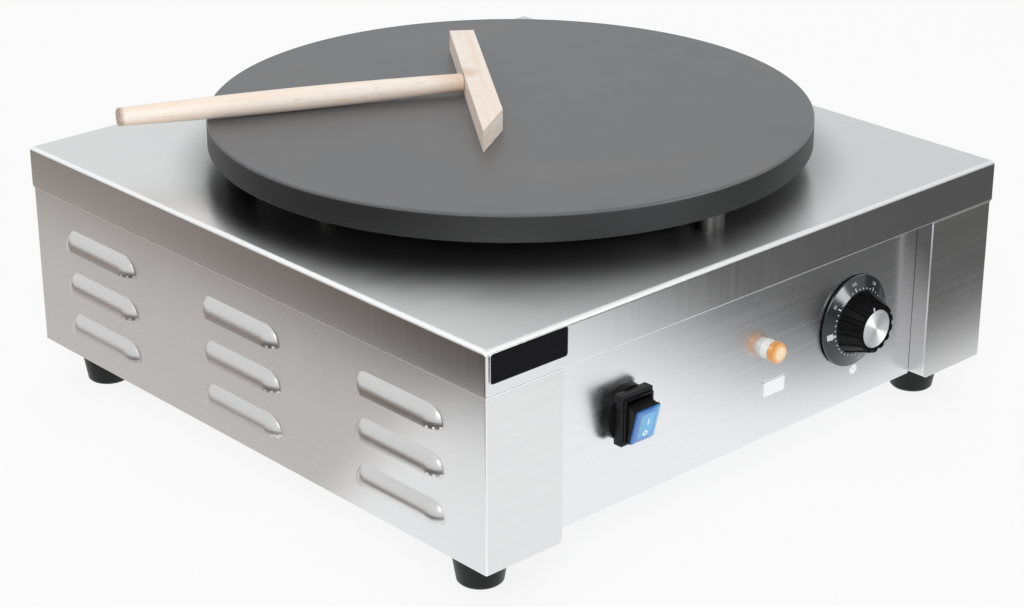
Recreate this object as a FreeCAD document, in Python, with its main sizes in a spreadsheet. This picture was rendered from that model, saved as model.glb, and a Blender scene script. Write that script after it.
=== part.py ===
"""Electric crepe maker: a cast griddle plate on three posts over a folded steel housing.

Frame: +X to the right along the front face, +Y to the back, +Z up.
The origin is on the table, under the middle of the housing. All sizes are in millimetres.
"""
import FreeCAD, Part
import math
import os

import Sketcher

V = FreeCAD.Vector

# Driving dimensions: name, value and what it measures.
SIZES = [
    ("HousingWidth", 455.0, "top pan across X"),
    ("HousingDepth", 458.0, "top pan across Y"),
    ("HousingHeight", 140.7, "bottom edge of the side panels to the deck"),
    ("FootHeight", 26.0, "table to the bottom edge of the side panels"),
    ("PanSheet", 1.5, "sheet of the top pan"),
    ("PanSkirt", 27.8, "depth of the pan's skirt"),
    ("PanBend", 3.0, "outer radius where deck turns into skirt"),
    ("PanCorner", 1.2, "radius of the skirt's upright corners"),
    ("PanelSheet", 1.2, "sheet of every panel"),
    ("PanelInset", 1.0, "panel faces behind the skirt's faces"),
    ("PanelCorner", 1.0, "outer radius of the panels' upright bends"),
    ("ShoulderGap", 0.6, "skirt's lower edge to the panel's shoulder"),
    ("ShoulderStep", 2.0, "how far the upstand stands behind the panel's face"),
    ("SeatGap", 0.2, "clearance where one piece is seated on another"),
    ("SheetGap", 0.3, "clearance between sheets that lie side by side"),
    ("FrontFlange", 59.5, "side panel's flange on the front face"),
    ("RearFlange", 25.0, "side panel's flange on the rear face"),
    ("PanelRecess", 13.0, "front panel behind the front flanges"),
    ("PanelLap", 16.0, "front and rear panels above the skirt's lower edge"),
    ("FlangeReturn", 25.0, "depth of the front flange's return"),
    ("FlangeNotch", 3.5, "rounding of the flange's lower corner"),
    ("BottomFlange", 50.0, "side panel's flange under the base plate"),
    ("EdgeFold", 12.0, "folded edges of the front, rear and base sheets"),
    ("LouvreLength", 80.0, "louvre, end to end"),
    ("LouvreHeight", 13.0, "louvre, mouth to top"),
    ("LouvreDepth", 5.5, "how far a louvre stands out"),
    ("LouvreRound", 10.0, "distance of the end's turning axis behind the panel's face"),
    ("LouvreMouthLow", 19.3, "mouth of the lowest louvre above the panel's bottom edge"),
    ("LouvreRowPitch", 30.3, "between rows of louvres"),
    ("LouvreColumnPitch", 152.0, "between columns of louvres"),
    ("PlateRadius", 200.0, "griddle plate"),
    ("PlateThick", 18.0, "griddle plate at its rim"),
    ("PlateGap", 16.0, "deck to the underside of the plate"),
    ("PlateShiftY", -2.0, "plate's centre from the housing's centre"),
    ("PlateEdge", 1.5, "rounding of the plate's upper edge"),
    ("PlateWell", 8.0, "depth of the heater well under the plate"),
    ("WellRadius", 165.0, "heater well"),
    ("PostRadius", 9.2, "plate post"),
    ("PostInset", 18.5, "posts from the plate's rim"),
    ("StudRadius", 4.0, "threaded ends of a post"),
    ("StudReach", 9.0, "upper stud inside the plate"),
    ("StudGap", 0.1, "radial clearance of a stud or screw in its hole"),
    ("WasherRadius", 8.5, "post washer"),
    ("WasherThick", 1.6, "post washer"),
    ("NutFlat", 13.0, "post nut across flats"),
    ("NutThick", 6.5, "post nut"),
    ("TubeHalf", 4.0, "half the width of the square-pressed heating element"),
    ("CoilStart", 45.0, "first radius of the heating element"),
    ("CoilStep", 33.0, "between neighbouring turns of the element"),
    ("LegBend", 12.0, "bend radius where the element turns down"),
    ("LegEnd", 30.0, "element ends below the deck"),
    ("ClampSheet", 2.5, "clamp plate under the element"),
    ("ClampScrewCircle", 157.0, "clamp screws from the plate's centre"),
    ("ClampScrewRadius", 3.0, "clamp screw"),
    ("ClampHeadRadius", 5.5, "head of a clamp screw"),
    ("ClampHeadThick", 2.6, "head of a clamp screw"),
    ("ClampScrewBite", 5.0, "clamp screw inside the plate"),
    ("ClampReach", 163.0, "radius of the clamp plate"),
    ("BlanketReach", 151.0, "radius of the insulation blanket"),
    ("BlanketThick", 6.0, "insulation blanket"),
    ("ShieldSheet", 1.0, "heat shield"),
    ("CentreHole", 58.0, "opening in the clamp plate, blanket and shield"),
    ("DuctRadius", 60.0, "opening in the deck for the element's legs"),
    ("DuctLip", 2.5, "raised lip round the deck opening"),
    ("BulbRadius", 3.0, "temperature sensor bulb"),
    ("BulbLength", 66.0, "temperature sensor bulb"),
    ("ClipSheet", 0.8, "sensor clip"),
    ("ClipWidth", 10.0, "sensor clip along the bulb"),
    ("ClipEar", 10.0, "each ear of the sensor clip"),
    ("CapillaryRadius", 1.0, "capillary tube"),
    ("CapillaryBend", 8.0, "bends of the capillary tube"),
    ("FootTopRadius", 18.5, "foot at the housing"),
    ("FootLowRadius", 14.4, "foot on the table"),
    ("FootInsetX", 26.5, "feet from the side panels' faces"),
    ("FootInsetY", 35.0, "feet from the front and rear faces"),
    ("FootScrewRadius", 2.5, "foot screw"),
    ("FootWell", 12.0, "depth of the recess under a foot"),
    ("FootWellRadius", 6.0, "recess under a foot"),
    ("FootEdge", 1.2, "bevel round the sole of a foot"),
    ("FootHeadRadius", 4.6, "head of a foot screw"),
    ("FootHeadThick", 3.0, "head of a foot screw"),
    ("KnobX", 104.5, "thermostat axis"),
    ("KnobZ", 57.5, "thermostat axis above the panel's bottom edge"),
    ("DialRadius", 31.0, "numbered dial"),
    ("DialStandoff", 1.2, "dial in front of the panel"),
    ("DialRim", 1.2, "dial's thickness at its rim"),
    ("DialRise", 3.1, "how far the dial rises towards the grip"),
    ("GripBaseRadius", 21.5, "grip at the dial"),
    ("GripFrontRadius", 16.3, "grip at its face"),
    ("GripHeight", 15.0, "grip"),
    ("GripBore", 10.5, "depth of the shaft's bore in the grip"),
    ("FluteRadius", 2.2, "flute"),
    ("FluteDepth", 1.4, "flute into the grip"),
    ("CapRadius", 12.8, "metal cap on the grip"),
    ("CapRecess", 1.0, "depth of the cap's seat"),
    ("CapThick", 0.8, "metal cap"),
    ("ShaftRadius", 3.0, "thermostat shaft"),
    ("ShaftGap", 0.06, "radial running clearance of the shaft"),
    ("BushRadius", 5.0, "thermostat's bush through the panel"),
    ("ThermostatWidth", 44.0, "thermostat body across X"),
    ("ThermostatHeight", 36.0, "thermostat body across Z"),
    ("ThermostatDepth", 26.0, "thermostat body behind the panel"),
    ("ThermostatScrewSpan", 14.0, "thermostat screws from the axis"),
    ("ShaftDepth", 18.0, "shaft behind the panel's face"),
    ("SmallScrewRadius", 1.6, "small screws"),
    ("SmallHeadRadius", 3.2, "heads of the small screws"),
    ("SmallHeadThick", 0.9, "heads of the small screws"),
    ("SmallScrewLength", 8.0, "small screws under their heads"),
    ("LampX", 22.0, "pilot lamp axis"),
    ("LampZ", 62.3, "pilot lamp axis above the panel's bottom edge"),
    ("LampBarrel", 5.0, "radius of the lamp's barrel"),
    ("LampBarrelDepth", 18.0, "barrel behind the panel's face"),
    ("LampFlange", 6.5, "radius of the lamp's flange"),
    ("LampFlangeThick", 2.2, "lamp's flange"),
    ("LampCollar", 6.0, "radius of the lamp's collar"),
    ("LampCollarDepth", 6.0, "collar's face in front of the panel"),
    ("LampSpigot", 4.6, "radius of the spigot inside the lens"),
    ("LampSpigotLength", 2.4, "spigot inside the lens"),
    ("LampLens", 7.0, "radius of the lamp's lens"),
    ("LampLensDepth", 5.5, "lens in front of the collar"),
    ("LensRound", 2.0, "rounding of the lens's face"),
    ("LampNutFlat", 13.0, "lamp's nut across flats"),
    ("LampNutThick", 3.0, "lamp's nut"),
    ("SwitchX", -104.5, "switch centre"),
    ("SwitchZ", 60.5, "switch centre above the panel's bottom edge"),
    ("GasketRadius", 17.8, "round gasket behind the switch bezel"),
    ("GasketThick", 5.0, "round gasket"),
    ("BezelWidth", 26.4, "switch bezel across X"),
    ("BezelHeight", 33.0, "switch bezel across Z"),
    ("BezelThick", 6.4, "first step of the bezel"),
    ("OuterRound", 1.2, "rounding of the bezel's outer edges"),
    ("FrameWidth", 23.4, "second step of the bezel across X"),
    ("FrameHeight", 27.6, "second step of the bezel across Z"),
    ("FrameThick", 1.6, "second step of the bezel"),
    ("SwitchMouthWidth", 20.6, "opening for the rocker"),
    ("SwitchMouthHeight", 26.0, "opening for the rocker"),
    ("SwitchBodyWidth", 21.4, "switch body across X"),
    ("SwitchBodyHeight", 25.0, "switch body across Z"),
    ("SwitchBodyDepth", 25.0, "switch body behind the panel"),
    ("SwitchWall", 1.5, "wall of the switch body"),
    ("BladeWidth", 6.3, "switch terminal"),
    ("BladeThick", 0.8, "switch terminal"),
    ("BladeLength", 12.0, "switch terminal"),
    ("BladePitch", 12.0, "between the switch terminals"),
    ("PivotDepth", 6.2, "rocker pivot behind the frame's face"),
    ("PivotRadius", 1.2, "rocker pivot pin"),
    ("PivotLength", 25.0, "rocker pivot pin"),
    ("RockerWidth", 21.0, "rocker across X"),
    ("RockerHeight", 25.0, "rocker across Z"),
    ("RockerReach", 12.0, "rocker face in front of the pivot"),
    ("RockerTilt", 14.0, "rocker's lean either way, in degrees"),
    ("RockerGap", 0.3, "rocker over the frame when it is pressed"),
    ("RockerRound", 2.4, "rounding of the rocker's corners"),
    ("BlockGap", 0.4, "rocker's block to each side of the opening"),
    ("BlockTall", 21.8, "rocker's block across Z"),
    ("BlockBack", 2.5, "back of the rocker's block in front of the pivot"),
    ("StemWidth", 16.4, "rocker's stem across X"),
    ("StemHeight", 12.6, "rocker's stem across Z"),
    ("StemBack", 4.0, "stem behind the pivot"),
    ("LensThick", 1.2, "blue lens on the rocker"),
    ("LensMargin", 0.9, "rocker's rim round the lens"),
    ("GlandInset", 76.5, "cable gland and terminal block from the right panel's face"),
    ("GlandZ", 32.0, "cable gland above the panel's bottom edge"),
    ("GlandRadius", 8.0, "gland's barrel"),
    ("GlandBore", 4.5, "gland's bore for the supply cable"),
    ("GlandFlat", 22.0, "gland's hexagon across flats"),
    ("GlandHexThick", 5.0, "gland's hexagon"),
    ("GlandDome", 4.65, "gland's clamping ring behind the hexagon"),
    ("GlandInside", 10.0, "gland's barrel inside the rear panel"),
    ("GlandNutThick", 4.0, "gland's nut"),
    ("BlockWidth", 44.0, "terminal block across X"),
    ("BlockDepth", 18.0, "terminal block across Y"),
    ("BlockHeight", 16.0, "terminal block"),
    ("BlockInset", 58.6, "terminal block in front of the rear panel"),
    ("BlockPitch", 12.0, "between the block's wire channels"),
    ("BlockChannel", 2.4, "radius of a wire channel"),
    ("EarthAside", 40.0, "earth stud beside the terminal block"),
    ("EarthInset", 36.6, "earth stud in front of the rear panel"),
    ("EarthRadius", 2.5, "earth stud"),
    ("EarthFlat", 8.0, "small nuts across flats"),
    ("SmallNutThick", 4.0, "small nuts"),
    ("BaseScrewX", 120.0, "base screws from the middle"),
    ("RivetRadius", 1.6, "panel rivets"),
    ("RivetHead", 3.0, "head of a panel rivet"),
    ("RivetLow", 30.0, "lower rivets above the panel's bottom edge"),
    ("RivetPitch", 50.0, "between the rivets"),
    ("VentWidth", 5.0, "vent slots"),
    ("VentLength", 60.0, "vent slots"),
    ("VentPitch", 14.0, "between vent slots"),
    ("SpreaderTurn", 54.3, "spreader head's direction from +X, in degrees"),
    ("SpreaderX", -75.9, "lower corner of the spreader's head"),
    ("SpreaderY", -59.6, "lower corner of the spreader's head"),
    ("HeadLength", 216.0, "spreader head"),
    ("HeadWidth", 17.0, "spreader head"),
    ("HeadHeight", 14.5, "spreader head"),
    ("HeadMitre", 41.0, "length of the head's slanted end"),
    ("HandlePlace", 120.0, "handle along the head"),
    ("HandleSkew", 11.1, "handle's lean from square to the head, in degrees"),
    ("HandleRise", 7.7, "handle's axis above the head's underside"),
    ("HandleLength", 233.0, "handle outside the head"),
    ("HandleRound", 2.0, "rounding of the handle's free end"),
    ("HandleEndRadius", 5.9, "handle at both ends"),
    ("HandleMidRadius", 7.6, "handle at its fullest"),
    ("TenonRadius", 4.5, "handle's tenon in the head"),
    ("TenonDepth", 10.0, "handle's tenon in the head"),
]

VENT_SLOTS = 7
BASE_SLOTS = 5
FLUTES = 14
CLAMP_SCREWS = 4
POST_ANGLES = (270.0, 40.0, 140.0)
COIL_HALF_TURNS = 3
ROUND_FACETS = 3
INNER_FACETS = 2
OVERCUT = 1.0

doc = FreeCAD.newDocument("crepe_maker")


class Size:
    """A number together with the expression that works it out from the sheet."""

    def __init__(self, number, text):
        self.number = number
        self.text = text

    def joined(self, sign, other, number):
        return Size(number, f"({self.text} {sign} {as_size(other).text})")

    def __add__(self, other):
        return self.joined("+", other, self.number + as_size(other).number)

    def __sub__(self, other):
        return self.joined("-", other, self.number - as_size(other).number)

    def __mul__(self, other):
        return self.joined("*", other, self.number * as_size(other).number)

    def __truediv__(self, other):
        return self.joined("/", other, self.number / as_size(other).number)

    def __neg__(self):
        return Size(-self.number, f"(-1 * {self.text})")

    __radd__ = __add__
    __rmul__ = __mul__

    def __rsub__(self, other):
        return as_size(other) - self


def as_size(value):
    return value if isinstance(value, Size) else Size(float(value), repr(float(value)))


def number_of(value):
    return as_size(value).number


def cosine(degrees):
    degrees = as_size(degrees)
    return Size(math.cos(math.radians(degrees.number)), f"cos({degrees.text})")


def sine(degrees):
    degrees = as_size(degrees)
    return Size(math.sin(math.radians(degrees.number)), f"sin({degrees.text})")


def inverse(kind, share):
    """Angle in degrees from its sine, cosine or tangent, with kind asin, acos or atan."""
    share = as_size(share)
    angle = math.degrees(getattr(math, kind)(share.number))
    return Size(angle, f"{kind}({share.text})")


def write_sheet():
    """Put the driving dimensions in a spreadsheet and return them as sizes by name."""
    sheet = doc.addObject("Spreadsheet::Sheet", "Sizes")
    sizes = {}
    for row, (name, value, note) in enumerate(SIZES, start=1):
        sheet.set(f"A{row}", name)
        sheet.set(f"B{row}", repr(value))
        sheet.set(f"C{row}", note)
        sheet.setAlias(f"B{row}", name)
        sizes[name] = Size(value, f"Sizes.{name}")
    doc.recompute()
    return sizes


S = write_sheet()

# Levels and faces that several pieces share.
HousingBottom = S["FootHeight"]
DeckTop = HousingBottom + S["HousingHeight"]
DeckUnder = DeckTop - S["PanSheet"]
PlateUnder = DeckTop + S["PlateGap"]
PlateTop = PlateUnder + S["PlateThick"]
PanelHalfX = S["HousingWidth"] / 2 - S["PanelInset"]
PanelHalfY = S["HousingDepth"] / 2 - S["PanelInset"]
PanelHeight = S["HousingHeight"] - S["PanSkirt"] - S["ShoulderGap"]
LappedHeight = S["HousingHeight"] - S["PanSkirt"] + S["PanelLap"]
UnderDeckHeight = S["HousingHeight"] - S["PanSheet"] - S["SeatGap"]
FrontPanelY = -PanelHalfY + S["PanelRecess"]
FrontPanelHalf = PanelHalfX - S["FrontFlange"] - S["SheetGap"]
RearPanelY = PanelHalfY - S["PanelSheet"] - S["SeatGap"]
Sheet = S["PanelSheet"]
BasePlateTop = HousingBottom + 2 * Sheet
FootX = PanelHalfX - S["FootInsetX"]
FootY = PanelHalfY - S["FootInsetY"]
PostCircle = S["PlateRadius"] - S["PostInset"]
ElementLevel = S["PlateWell"] - S["SheetGap"] - S["TubeHalf"]
ClampTop = ElementLevel - S["TubeHalf"] - S["SheetGap"]
BlanketTop = ClampTop - S["ClampSheet"]
ShieldTop = BlanketTop - S["BlanketThick"]
FootHole = S["FootScrewRadius"] + S["StudGap"]
SmallHole = S["SmallScrewRadius"] + S["StudGap"]
ShaftBore = S["ShaftRadius"] + S["ShaftGap"]
DialFace = S["DialStandoff"] + S["DialRim"] + S["DialRise"]
FrameFace = S["GasketThick"] + S["BezelThick"] + S["FrameThick"]
PivotLevel = FrameFace - S["PivotDepth"]
SpreaderBottom = PlateTop + S["SeatGap"]
RivetY = FrontPanelY + S["EdgeFold"] / 2
GlandX = PanelHalfX - S["GlandInset"]
BlockY = RearPanelY - S["BlockInset"]
EarthX = GlandX - S["EarthAside"]
EarthY = RearPanelY - S["EarthInset"]
GlandLevel = S["GlandZ"] - 2 * Sheet - S["SeatGap"]
VentLow = GlandLevel + S["GlandFlat"]
BlockScrewX = S["BlockWidth"] / 2 - S["SmallHeadRadius"] - S["SeatGap"]
ClipScrewX = S["BulbRadius"] + S["SheetGap"] + S["ClipSheet"] + S["ClipEar"] / 2


def bind(thing, name, size):
    """Give a property its number and tie it to the sheet."""
    size = as_size(size)
    setattr(thing, name, size.number)
    thing.setExpression(name, size.text)


def place(thing, x=0.0, y=0.0, z=0.0, axis=None, angle=0.0):
    """Place a piece, with an optional turn about an axis through its own origin."""
    turn = FreeCAD.Rotation(V(*(axis or (0, 0, 1))), number_of(angle))
    thing.Placement = FreeCAD.Placement(V(number_of(x), number_of(y), number_of(z)), turn)
    for letter, size in (("x", x), ("y", y), ("z", z)):
        thing.setExpression(f"Placement.Base.{letter}", as_size(size).text)
    if isinstance(angle, Size):
        thing.setExpression("Placement.Rotation.Angle", angle.text)


def new_body(label, **where):
    body = doc.addObject("PartDesign::Body", label)
    body.Label = label
    place(body, **where)
    return body


def new_sketch(body, plane, offset=0.0, shift=(0.0, 0.0)):
    """A sketch on one of the body's own planes, moved along its normal by offset."""
    origin_plane = next(f for f in body.Origin.OriginFeatures if f.Role == plane)
    sketch = body.newObject("Sketcher::SketchObject", body.Label + "_sketch")
    sketch.AttachmentSupport = [(origin_plane, "")]
    sketch.MapMode = "FlatFace"
    for letter, size in (("x", shift[0]), ("y", shift[1]), ("z", offset)):
        size = as_size(size)
        setattr(sketch.AttachmentOffset.Base, letter, size.number)
        sketch.setExpression(f"AttachmentOffset.Base.{letter}", size.text)
    return sketch


def pin_point(sketch, geometry, end, x, y):
    """Hold a point of the sketch at x, y from its origin."""
    for kind, size in (("DistanceX", as_size(x)), ("DistanceY", as_size(y))):
        index = sketch.addConstraint(Sketcher.Constraint(kind, -1, 1, geometry, end, size.number))
        sketch.setExpression(f"Constraints[{index}]", size.text)


def polygon(sketch, points):
    """Closed outline of straight lines, with every corner held by its sizes."""
    spots = [V(number_of(x), number_of(y), 0) for x, y in points]
    first = sketch.GeometryCount
    for start, end in zip(spots, spots[1:] + spots[:1]):
        sketch.addGeometry(Part.LineSegment(start, end))
    count = len(points)
    for i in range(count):
        joint = Sketcher.Constraint("Coincident", first + i, 2, first + (i + 1) % count, 1)
        sketch.addConstraint(joint)
    for i, (x, y) in enumerate(points):
        pin_point(sketch, first + i, 1, x, y)


def rectangle(sketch, x0, x1, y0, y1):
    polygon(sketch, [(x0, y0), (x1, y0), (x1, y1), (x0, y1)])


def circle(sketch, x, y, radius):
    radius = as_size(radius)
    shape = Part.Circle(V(number_of(x), number_of(y), 0), V(0, 0, 1), radius.number)
    index = sketch.addGeometry(shape)
    pin_point(sketch, index, 3, x, y)
    held = sketch.addConstraint(Sketcher.Constraint("Radius", index, radius.number))
    sketch.setExpression(f"Constraints[{held}]", radius.text)


def feature(body, kind, sketch, reverse=False):
    made = body.newObject(f"PartDesign::{kind}", f"{body.Label}_{kind}")
    made.Profile = sketch
    made.Reversed = reverse
    return made


def pad(body, sketch, length, reverse=False, both=False):
    made = feature(body, "Pad", sketch, reverse)
    bind(made, "Length", length)
    made.SideType = "Symmetric" if both else "One side"
    return made


def pocket(body, sketch, depth=None, reverse=False, both=False):
    """Cut to a depth, or right through when no depth is given."""
    made = feature(body, "Pocket", sketch, reverse)
    if depth is None:
        made.Type = "ThroughAll"
    else:
        bind(made, "Length", depth)
    made.SideType = "Symmetric" if both else "One side"
    return made


def revolve(body, sketch, kind="Revolution"):
    """Full turn about the sketch's own vertical axis."""
    made = body.newObject(f"PartDesign::{kind}", f"{body.Label}_{kind}")
    made.Profile = sketch
    made.ReferenceAxis = (sketch, ["V_Axis"])
    made.Angle = 360.0
    return made


def polar(body, originals, sketch, count):
    """Repeat features evenly round the sketch's normal."""
    made = body.newObject("PartDesign::PolarPattern", f"{body.Label}_ring")
    made.Originals = originals
    made.Axis = (sketch, ["N_Axis"])
    made.Angle = 360.0
    made.Occurrences = count
    body.Tip = made
    return made


def row(body, originals, sketch, axis, length, count):
    """Repeat features in a straight row along one of the sketch's axes."""
    made = body.newObject("PartDesign::LinearPattern", f"{body.Label}_row")
    made.Originals = originals
    made.Direction = (sketch, [axis])
    bind(made, "Length", length)
    made.Occurrences = count
    body.Tip = made
    return made


def edges_of(base, wanted):
    """Names of the edges of base whose middle and direction satisfy wanted."""
    doc.recompute()
    names = []
    for number, edge in enumerate(base.Shape.Edges, start=1):
        box = edge.BoundBox
        if wanted(box):
            names.append(f"Edge{number}")
    return names


def soften(body, base, wanted, size, kind="Fillet"):
    """Fillet or chamfer the edges of base that wanted picks by their box."""
    names = edges_of(base, wanted)
    made = body.newObject(f"PartDesign::{kind}", f"{body.Label}_{kind}")
    made.Base = (base, names)
    bind(made, "Radius" if kind == "Fillet" else "Size", size)
    return made


def flat_at(low, high, level, near=0.01):
    return abs(low - level) < near and abs(high - level) < near


def hexagon(sketch, flat, x=0.0, y=0.0):
    """Hexagon given by its distance across flats."""
    corner = as_size(flat) / 2 / cosine(30)
    polygon(sketch, [(x + corner * cosine(60 * i), y + corner * sine(60 * i)) for i in range(6)])


def rounded(radius, height, size):
    """Corner points of a turned profile whose outer top corner is rounded by short facets."""
    turns = [90.0 / ROUND_FACETS * step for step in range(ROUND_FACETS + 1)]
    return [(radius - size + size * cosine(turn), height - size + size * sine(turn))
            for turn in turns]


def stud_circles(sketch):
    """Holes for the studs of the three plate posts, round the plate's centre."""
    for angle in POST_ANGLES:
        circle(sketch, PostCircle * cosine(angle), PostCircle * sine(angle),
               S["StudRadius"] + S["StudGap"])


def top_pan():
    """Deck and skirt folded from one sheet, with a lipped opening under the plate."""
    body = new_body("top_pan", z=DeckTop)
    half_x, half_y = S["HousingWidth"] / 2, S["HousingDepth"] / 2
    outline = new_sketch(body, "XY_Plane")
    rectangle(outline, -half_x, half_x, -half_y, half_y)
    block = pad(body, outline, S["PanSkirt"], reverse=True)
    upright = soften(body, block, lambda b: b.ZLength > 1, S["PanCorner"])
    soften(body, upright, lambda b: flat_at(b.ZMin, b.ZMax, 0), S["PanBend"])
    inside = new_sketch(body, "XY_Plane", -S["PanSkirt"])
    wall = S["PanSheet"]
    rectangle(inside, -half_x + wall, half_x - wall, -half_y + wall, half_y - wall)
    pocket(body, inside, S["PanSkirt"] - wall, reverse=True)
    lip = new_sketch(body, "XY_Plane", -S["PanSheet"], (0, S["PlateShiftY"]))
    circle(lip, 0, 0, S["DuctRadius"] + S["PanSheet"])
    pad(body, lip, S["DuctLip"] + S["PanSheet"])
    duct = new_sketch(body, "XY_Plane", S["DuctLip"], (0, S["PlateShiftY"]))
    circle(duct, 0, 0, S["DuctRadius"])
    pocket(body, duct)
    holes = new_sketch(body, "XY_Plane", 0, (0, S["PlateShiftY"]))
    stud_circles(holes)
    pocket(body, holes)
    return body


def square_root(size):
    size = as_size(size)
    return Size(math.sqrt(size.number), f"sqrt({size.text})")


def left_side_panel():
    """Wall, flanges, shoulder and louvres; local x runs inwards from the outer face."""
    body = new_body("left_side_panel", x=-PanelHalfX, z=HousingBottom)
    front, rear = -PanelHalfY, PanelHalfY
    reach, far = S["FrontFlange"], S["FrontFlange"] + OVERCUT
    outline = new_sketch(body, "XY_Plane")
    rectangle(outline, 0, reach, front, rear)
    block = pad(body, outline, PanelHeight)
    notch = soften(body, block, lambda b: flat_at(b.XMin, b.XMax, reach.number)
                   and b.YLength > 1 and flat_at(b.ZMin, b.ZMax, 0), S["FlangeNotch"])
    soften(body, notch, lambda b: flat_at(b.XMin, b.XMax, 0) and b.ZLength > 1, S["PanelCorner"])
    hollow = new_sketch(body, "XY_Plane", PanelHeight)
    polygon(hollow, [(Sheet, front + Sheet), (reach - Sheet, front + Sheet),
                     (reach - Sheet, front + S["FlangeReturn"]),
                     (far, front + S["FlangeReturn"]), (far, rear + OVERCUT),
                     (S["RearFlange"], rear + OVERCUT), (S["RearFlange"], rear - Sheet),
                     (Sheet, rear - Sheet)])
    pocket(body, hollow)

    step = S["ShoulderStep"]
    shoulder = new_sketch(body, "XY_Plane", PanelHeight)
    polygon(shoulder, [(0, front), (reach, front), (reach, front + step + Sheet),
                       (step + Sheet, front + step + Sheet), (step + Sheet, rear), (0, rear)])
    pad(body, shoulder, Sheet, reverse=True)
    upstand = new_sketch(body, "XY_Plane", PanelHeight - Sheet)
    polygon(upstand, [(step, front + step), (reach, front + step),
                      (reach, front + step + Sheet), (step + Sheet, front + step + Sheet),
                      (step + Sheet, rear - step), (step, rear - step)])
    pad(body, upstand, UnderDeckHeight - PanelHeight + Sheet)
    bottom = new_sketch(body, "XY_Plane")
    rectangle(bottom, Sheet, S["BottomFlange"], front + S["FlangeReturn"] + OVERCUT, rear)
    pad(body, bottom, Sheet)
    holes = new_sketch(body, "XY_Plane")
    for y in (-FootY, FootY):
        circle(holes, S["FootInsetX"], y, FootHole)
    pocket(body, holes, Sheet, reverse=True)
    rivets = new_sketch(body, "YZ_Plane", reach)
    for z in (S["RivetLow"], S["RivetLow"] + S["RivetPitch"]):
        circle(rivets, RivetY, z, S["RivetRadius"] + S["StudGap"])
    pocket(body, rivets, Sheet)
    louvres(body)
    return body


def louvre_section(sketch, skin, back, facets):
    """Curve from the louvre's lip up to the panel's face, closed behind the face.

    It is an arc, or a chain of as many straight facets as asked for.
    """
    depth, height, mouth = S["LouvreDepth"], S["LouvreHeight"], S["LouvreMouthLow"]
    whole = (depth * depth + height * height) / (2 * depth)
    radius, centre_x = whole - skin, whole - depth
    top = mouth + square_root(radius * radius - centre_x * centre_x)
    corners = [(skin - depth, mouth), (back, mouth), (back, top), (0, top)]
    if facets:
        rise = inverse("acos", centre_x / radius)
        turns = [rise * step / facets for step in range(facets - 1, 0, -1)]
        polygon(sketch, corners + [(centre_x - radius * cosine(turn), mouth + radius * sine(turn))
                                   for turn in turns])
        return
    spots = [V(number_of(x), number_of(y), 0) for x, y in corners]
    for start, end in zip(spots, spots[1:]):
        sketch.addGeometry(Part.LineSegment(start, end))
    ends = [math.atan2(p.y - mouth.number, p.x - centre_x.number) for p in (spots[3], spots[0])]
    middle = V(centre_x.number, mouth.number, 0)
    round_line = Part.Circle(middle, V(0, 0, 1), radius.number)
    sketch.addGeometry(Part.ArcOfCircle(round_line, ends[0], ends[1] % (2 * math.pi)))
    for first, end, second, start in ((0, 2, 1, 1), (1, 2, 2, 1), (2, 2, 3, 1), (3, 2, 0, 1)):
        sketch.addConstraint(Sketcher.Constraint("Coincident", first, end, second, start))
    for line, (x, y) in enumerate(corners[:3]):
        pin_point(sketch, line, 1, x, y)
    pin_point(sketch, 2, 2, *corners[3])


def louvres(body):
    """Three columns and three rows of pressed louvres with rounded ends, open downwards."""
    turn = S["LouvreRound"]
    outer = turn + S["LouvreDepth"]
    straight = S["LouvreLength"] / 2 - square_root(outer * outer - turn * turn)
    sweep = inverse("acos", turn / outer)
    column = S["LouvreColumnPitch"]
    made = []
    for skin, back, facets, run_kind, end_kind in (
            (Size(0, "0"), Sheet, 0, "Pad", "Revolution"),
            (Sheet, turn / 2, INNER_FACETS, "Pocket", "Groove")):
        middle = new_sketch(body, "XZ_Plane", column)
        louvre_section(middle, skin, back, facets)
        run = feature(body, run_kind, middle)
        bind(run, "Length", 2 * straight)
        run.SideType = "Symmetric"
        made.append(run)
        for way in (-1, 1):
            end = new_sketch(body, "XZ_Plane", column - way * straight)
            louvre_section(end, skin, back, facets)
            low, high = V(turn.number, 0, 0), V(turn.number, turn.number, 0)
            axis = end.addGeometry(Part.LineSegment(low, high), True)
            pin_point(end, axis, 1, turn, 0)
            pin_point(end, axis, 2, turn, turn)
            spun = feature(body, end_kind, end, reverse=way > 0)
            spun.ReferenceAxis = (end, ["Axis0"])
            bind(spun, "Angle", sweep)
            made.append(spun)
    compass = new_sketch(body, "YZ_Plane")
    steps = []
    for axis, length in (("H_Axis", 2 * column), ("V_Axis", 2 * S["LouvreRowPitch"])):
        line = body.newObject("PartDesign::LinearPattern", f"{body.Label}_row")
        line.Direction = (compass, [axis])
        bind(line, "Length", length)
        line.Occurrences = 3
        steps.append(line)
    grid = body.newObject("PartDesign::MultiTransform", f"{body.Label}_grid")
    grid.Originals = made
    grid.Transformations = steps
    body.Tip = grid


def right_side_panel(left):
    """Mirror image of the left panel."""
    panel = doc.addObject("Part::Mirroring", "right_side_panel")
    panel.Label = "right_side_panel"
    panel.Source = left
    panel.Base = V(0, 0, 0)
    panel.Normal = V(1, 0, 0)
    return panel


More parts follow.
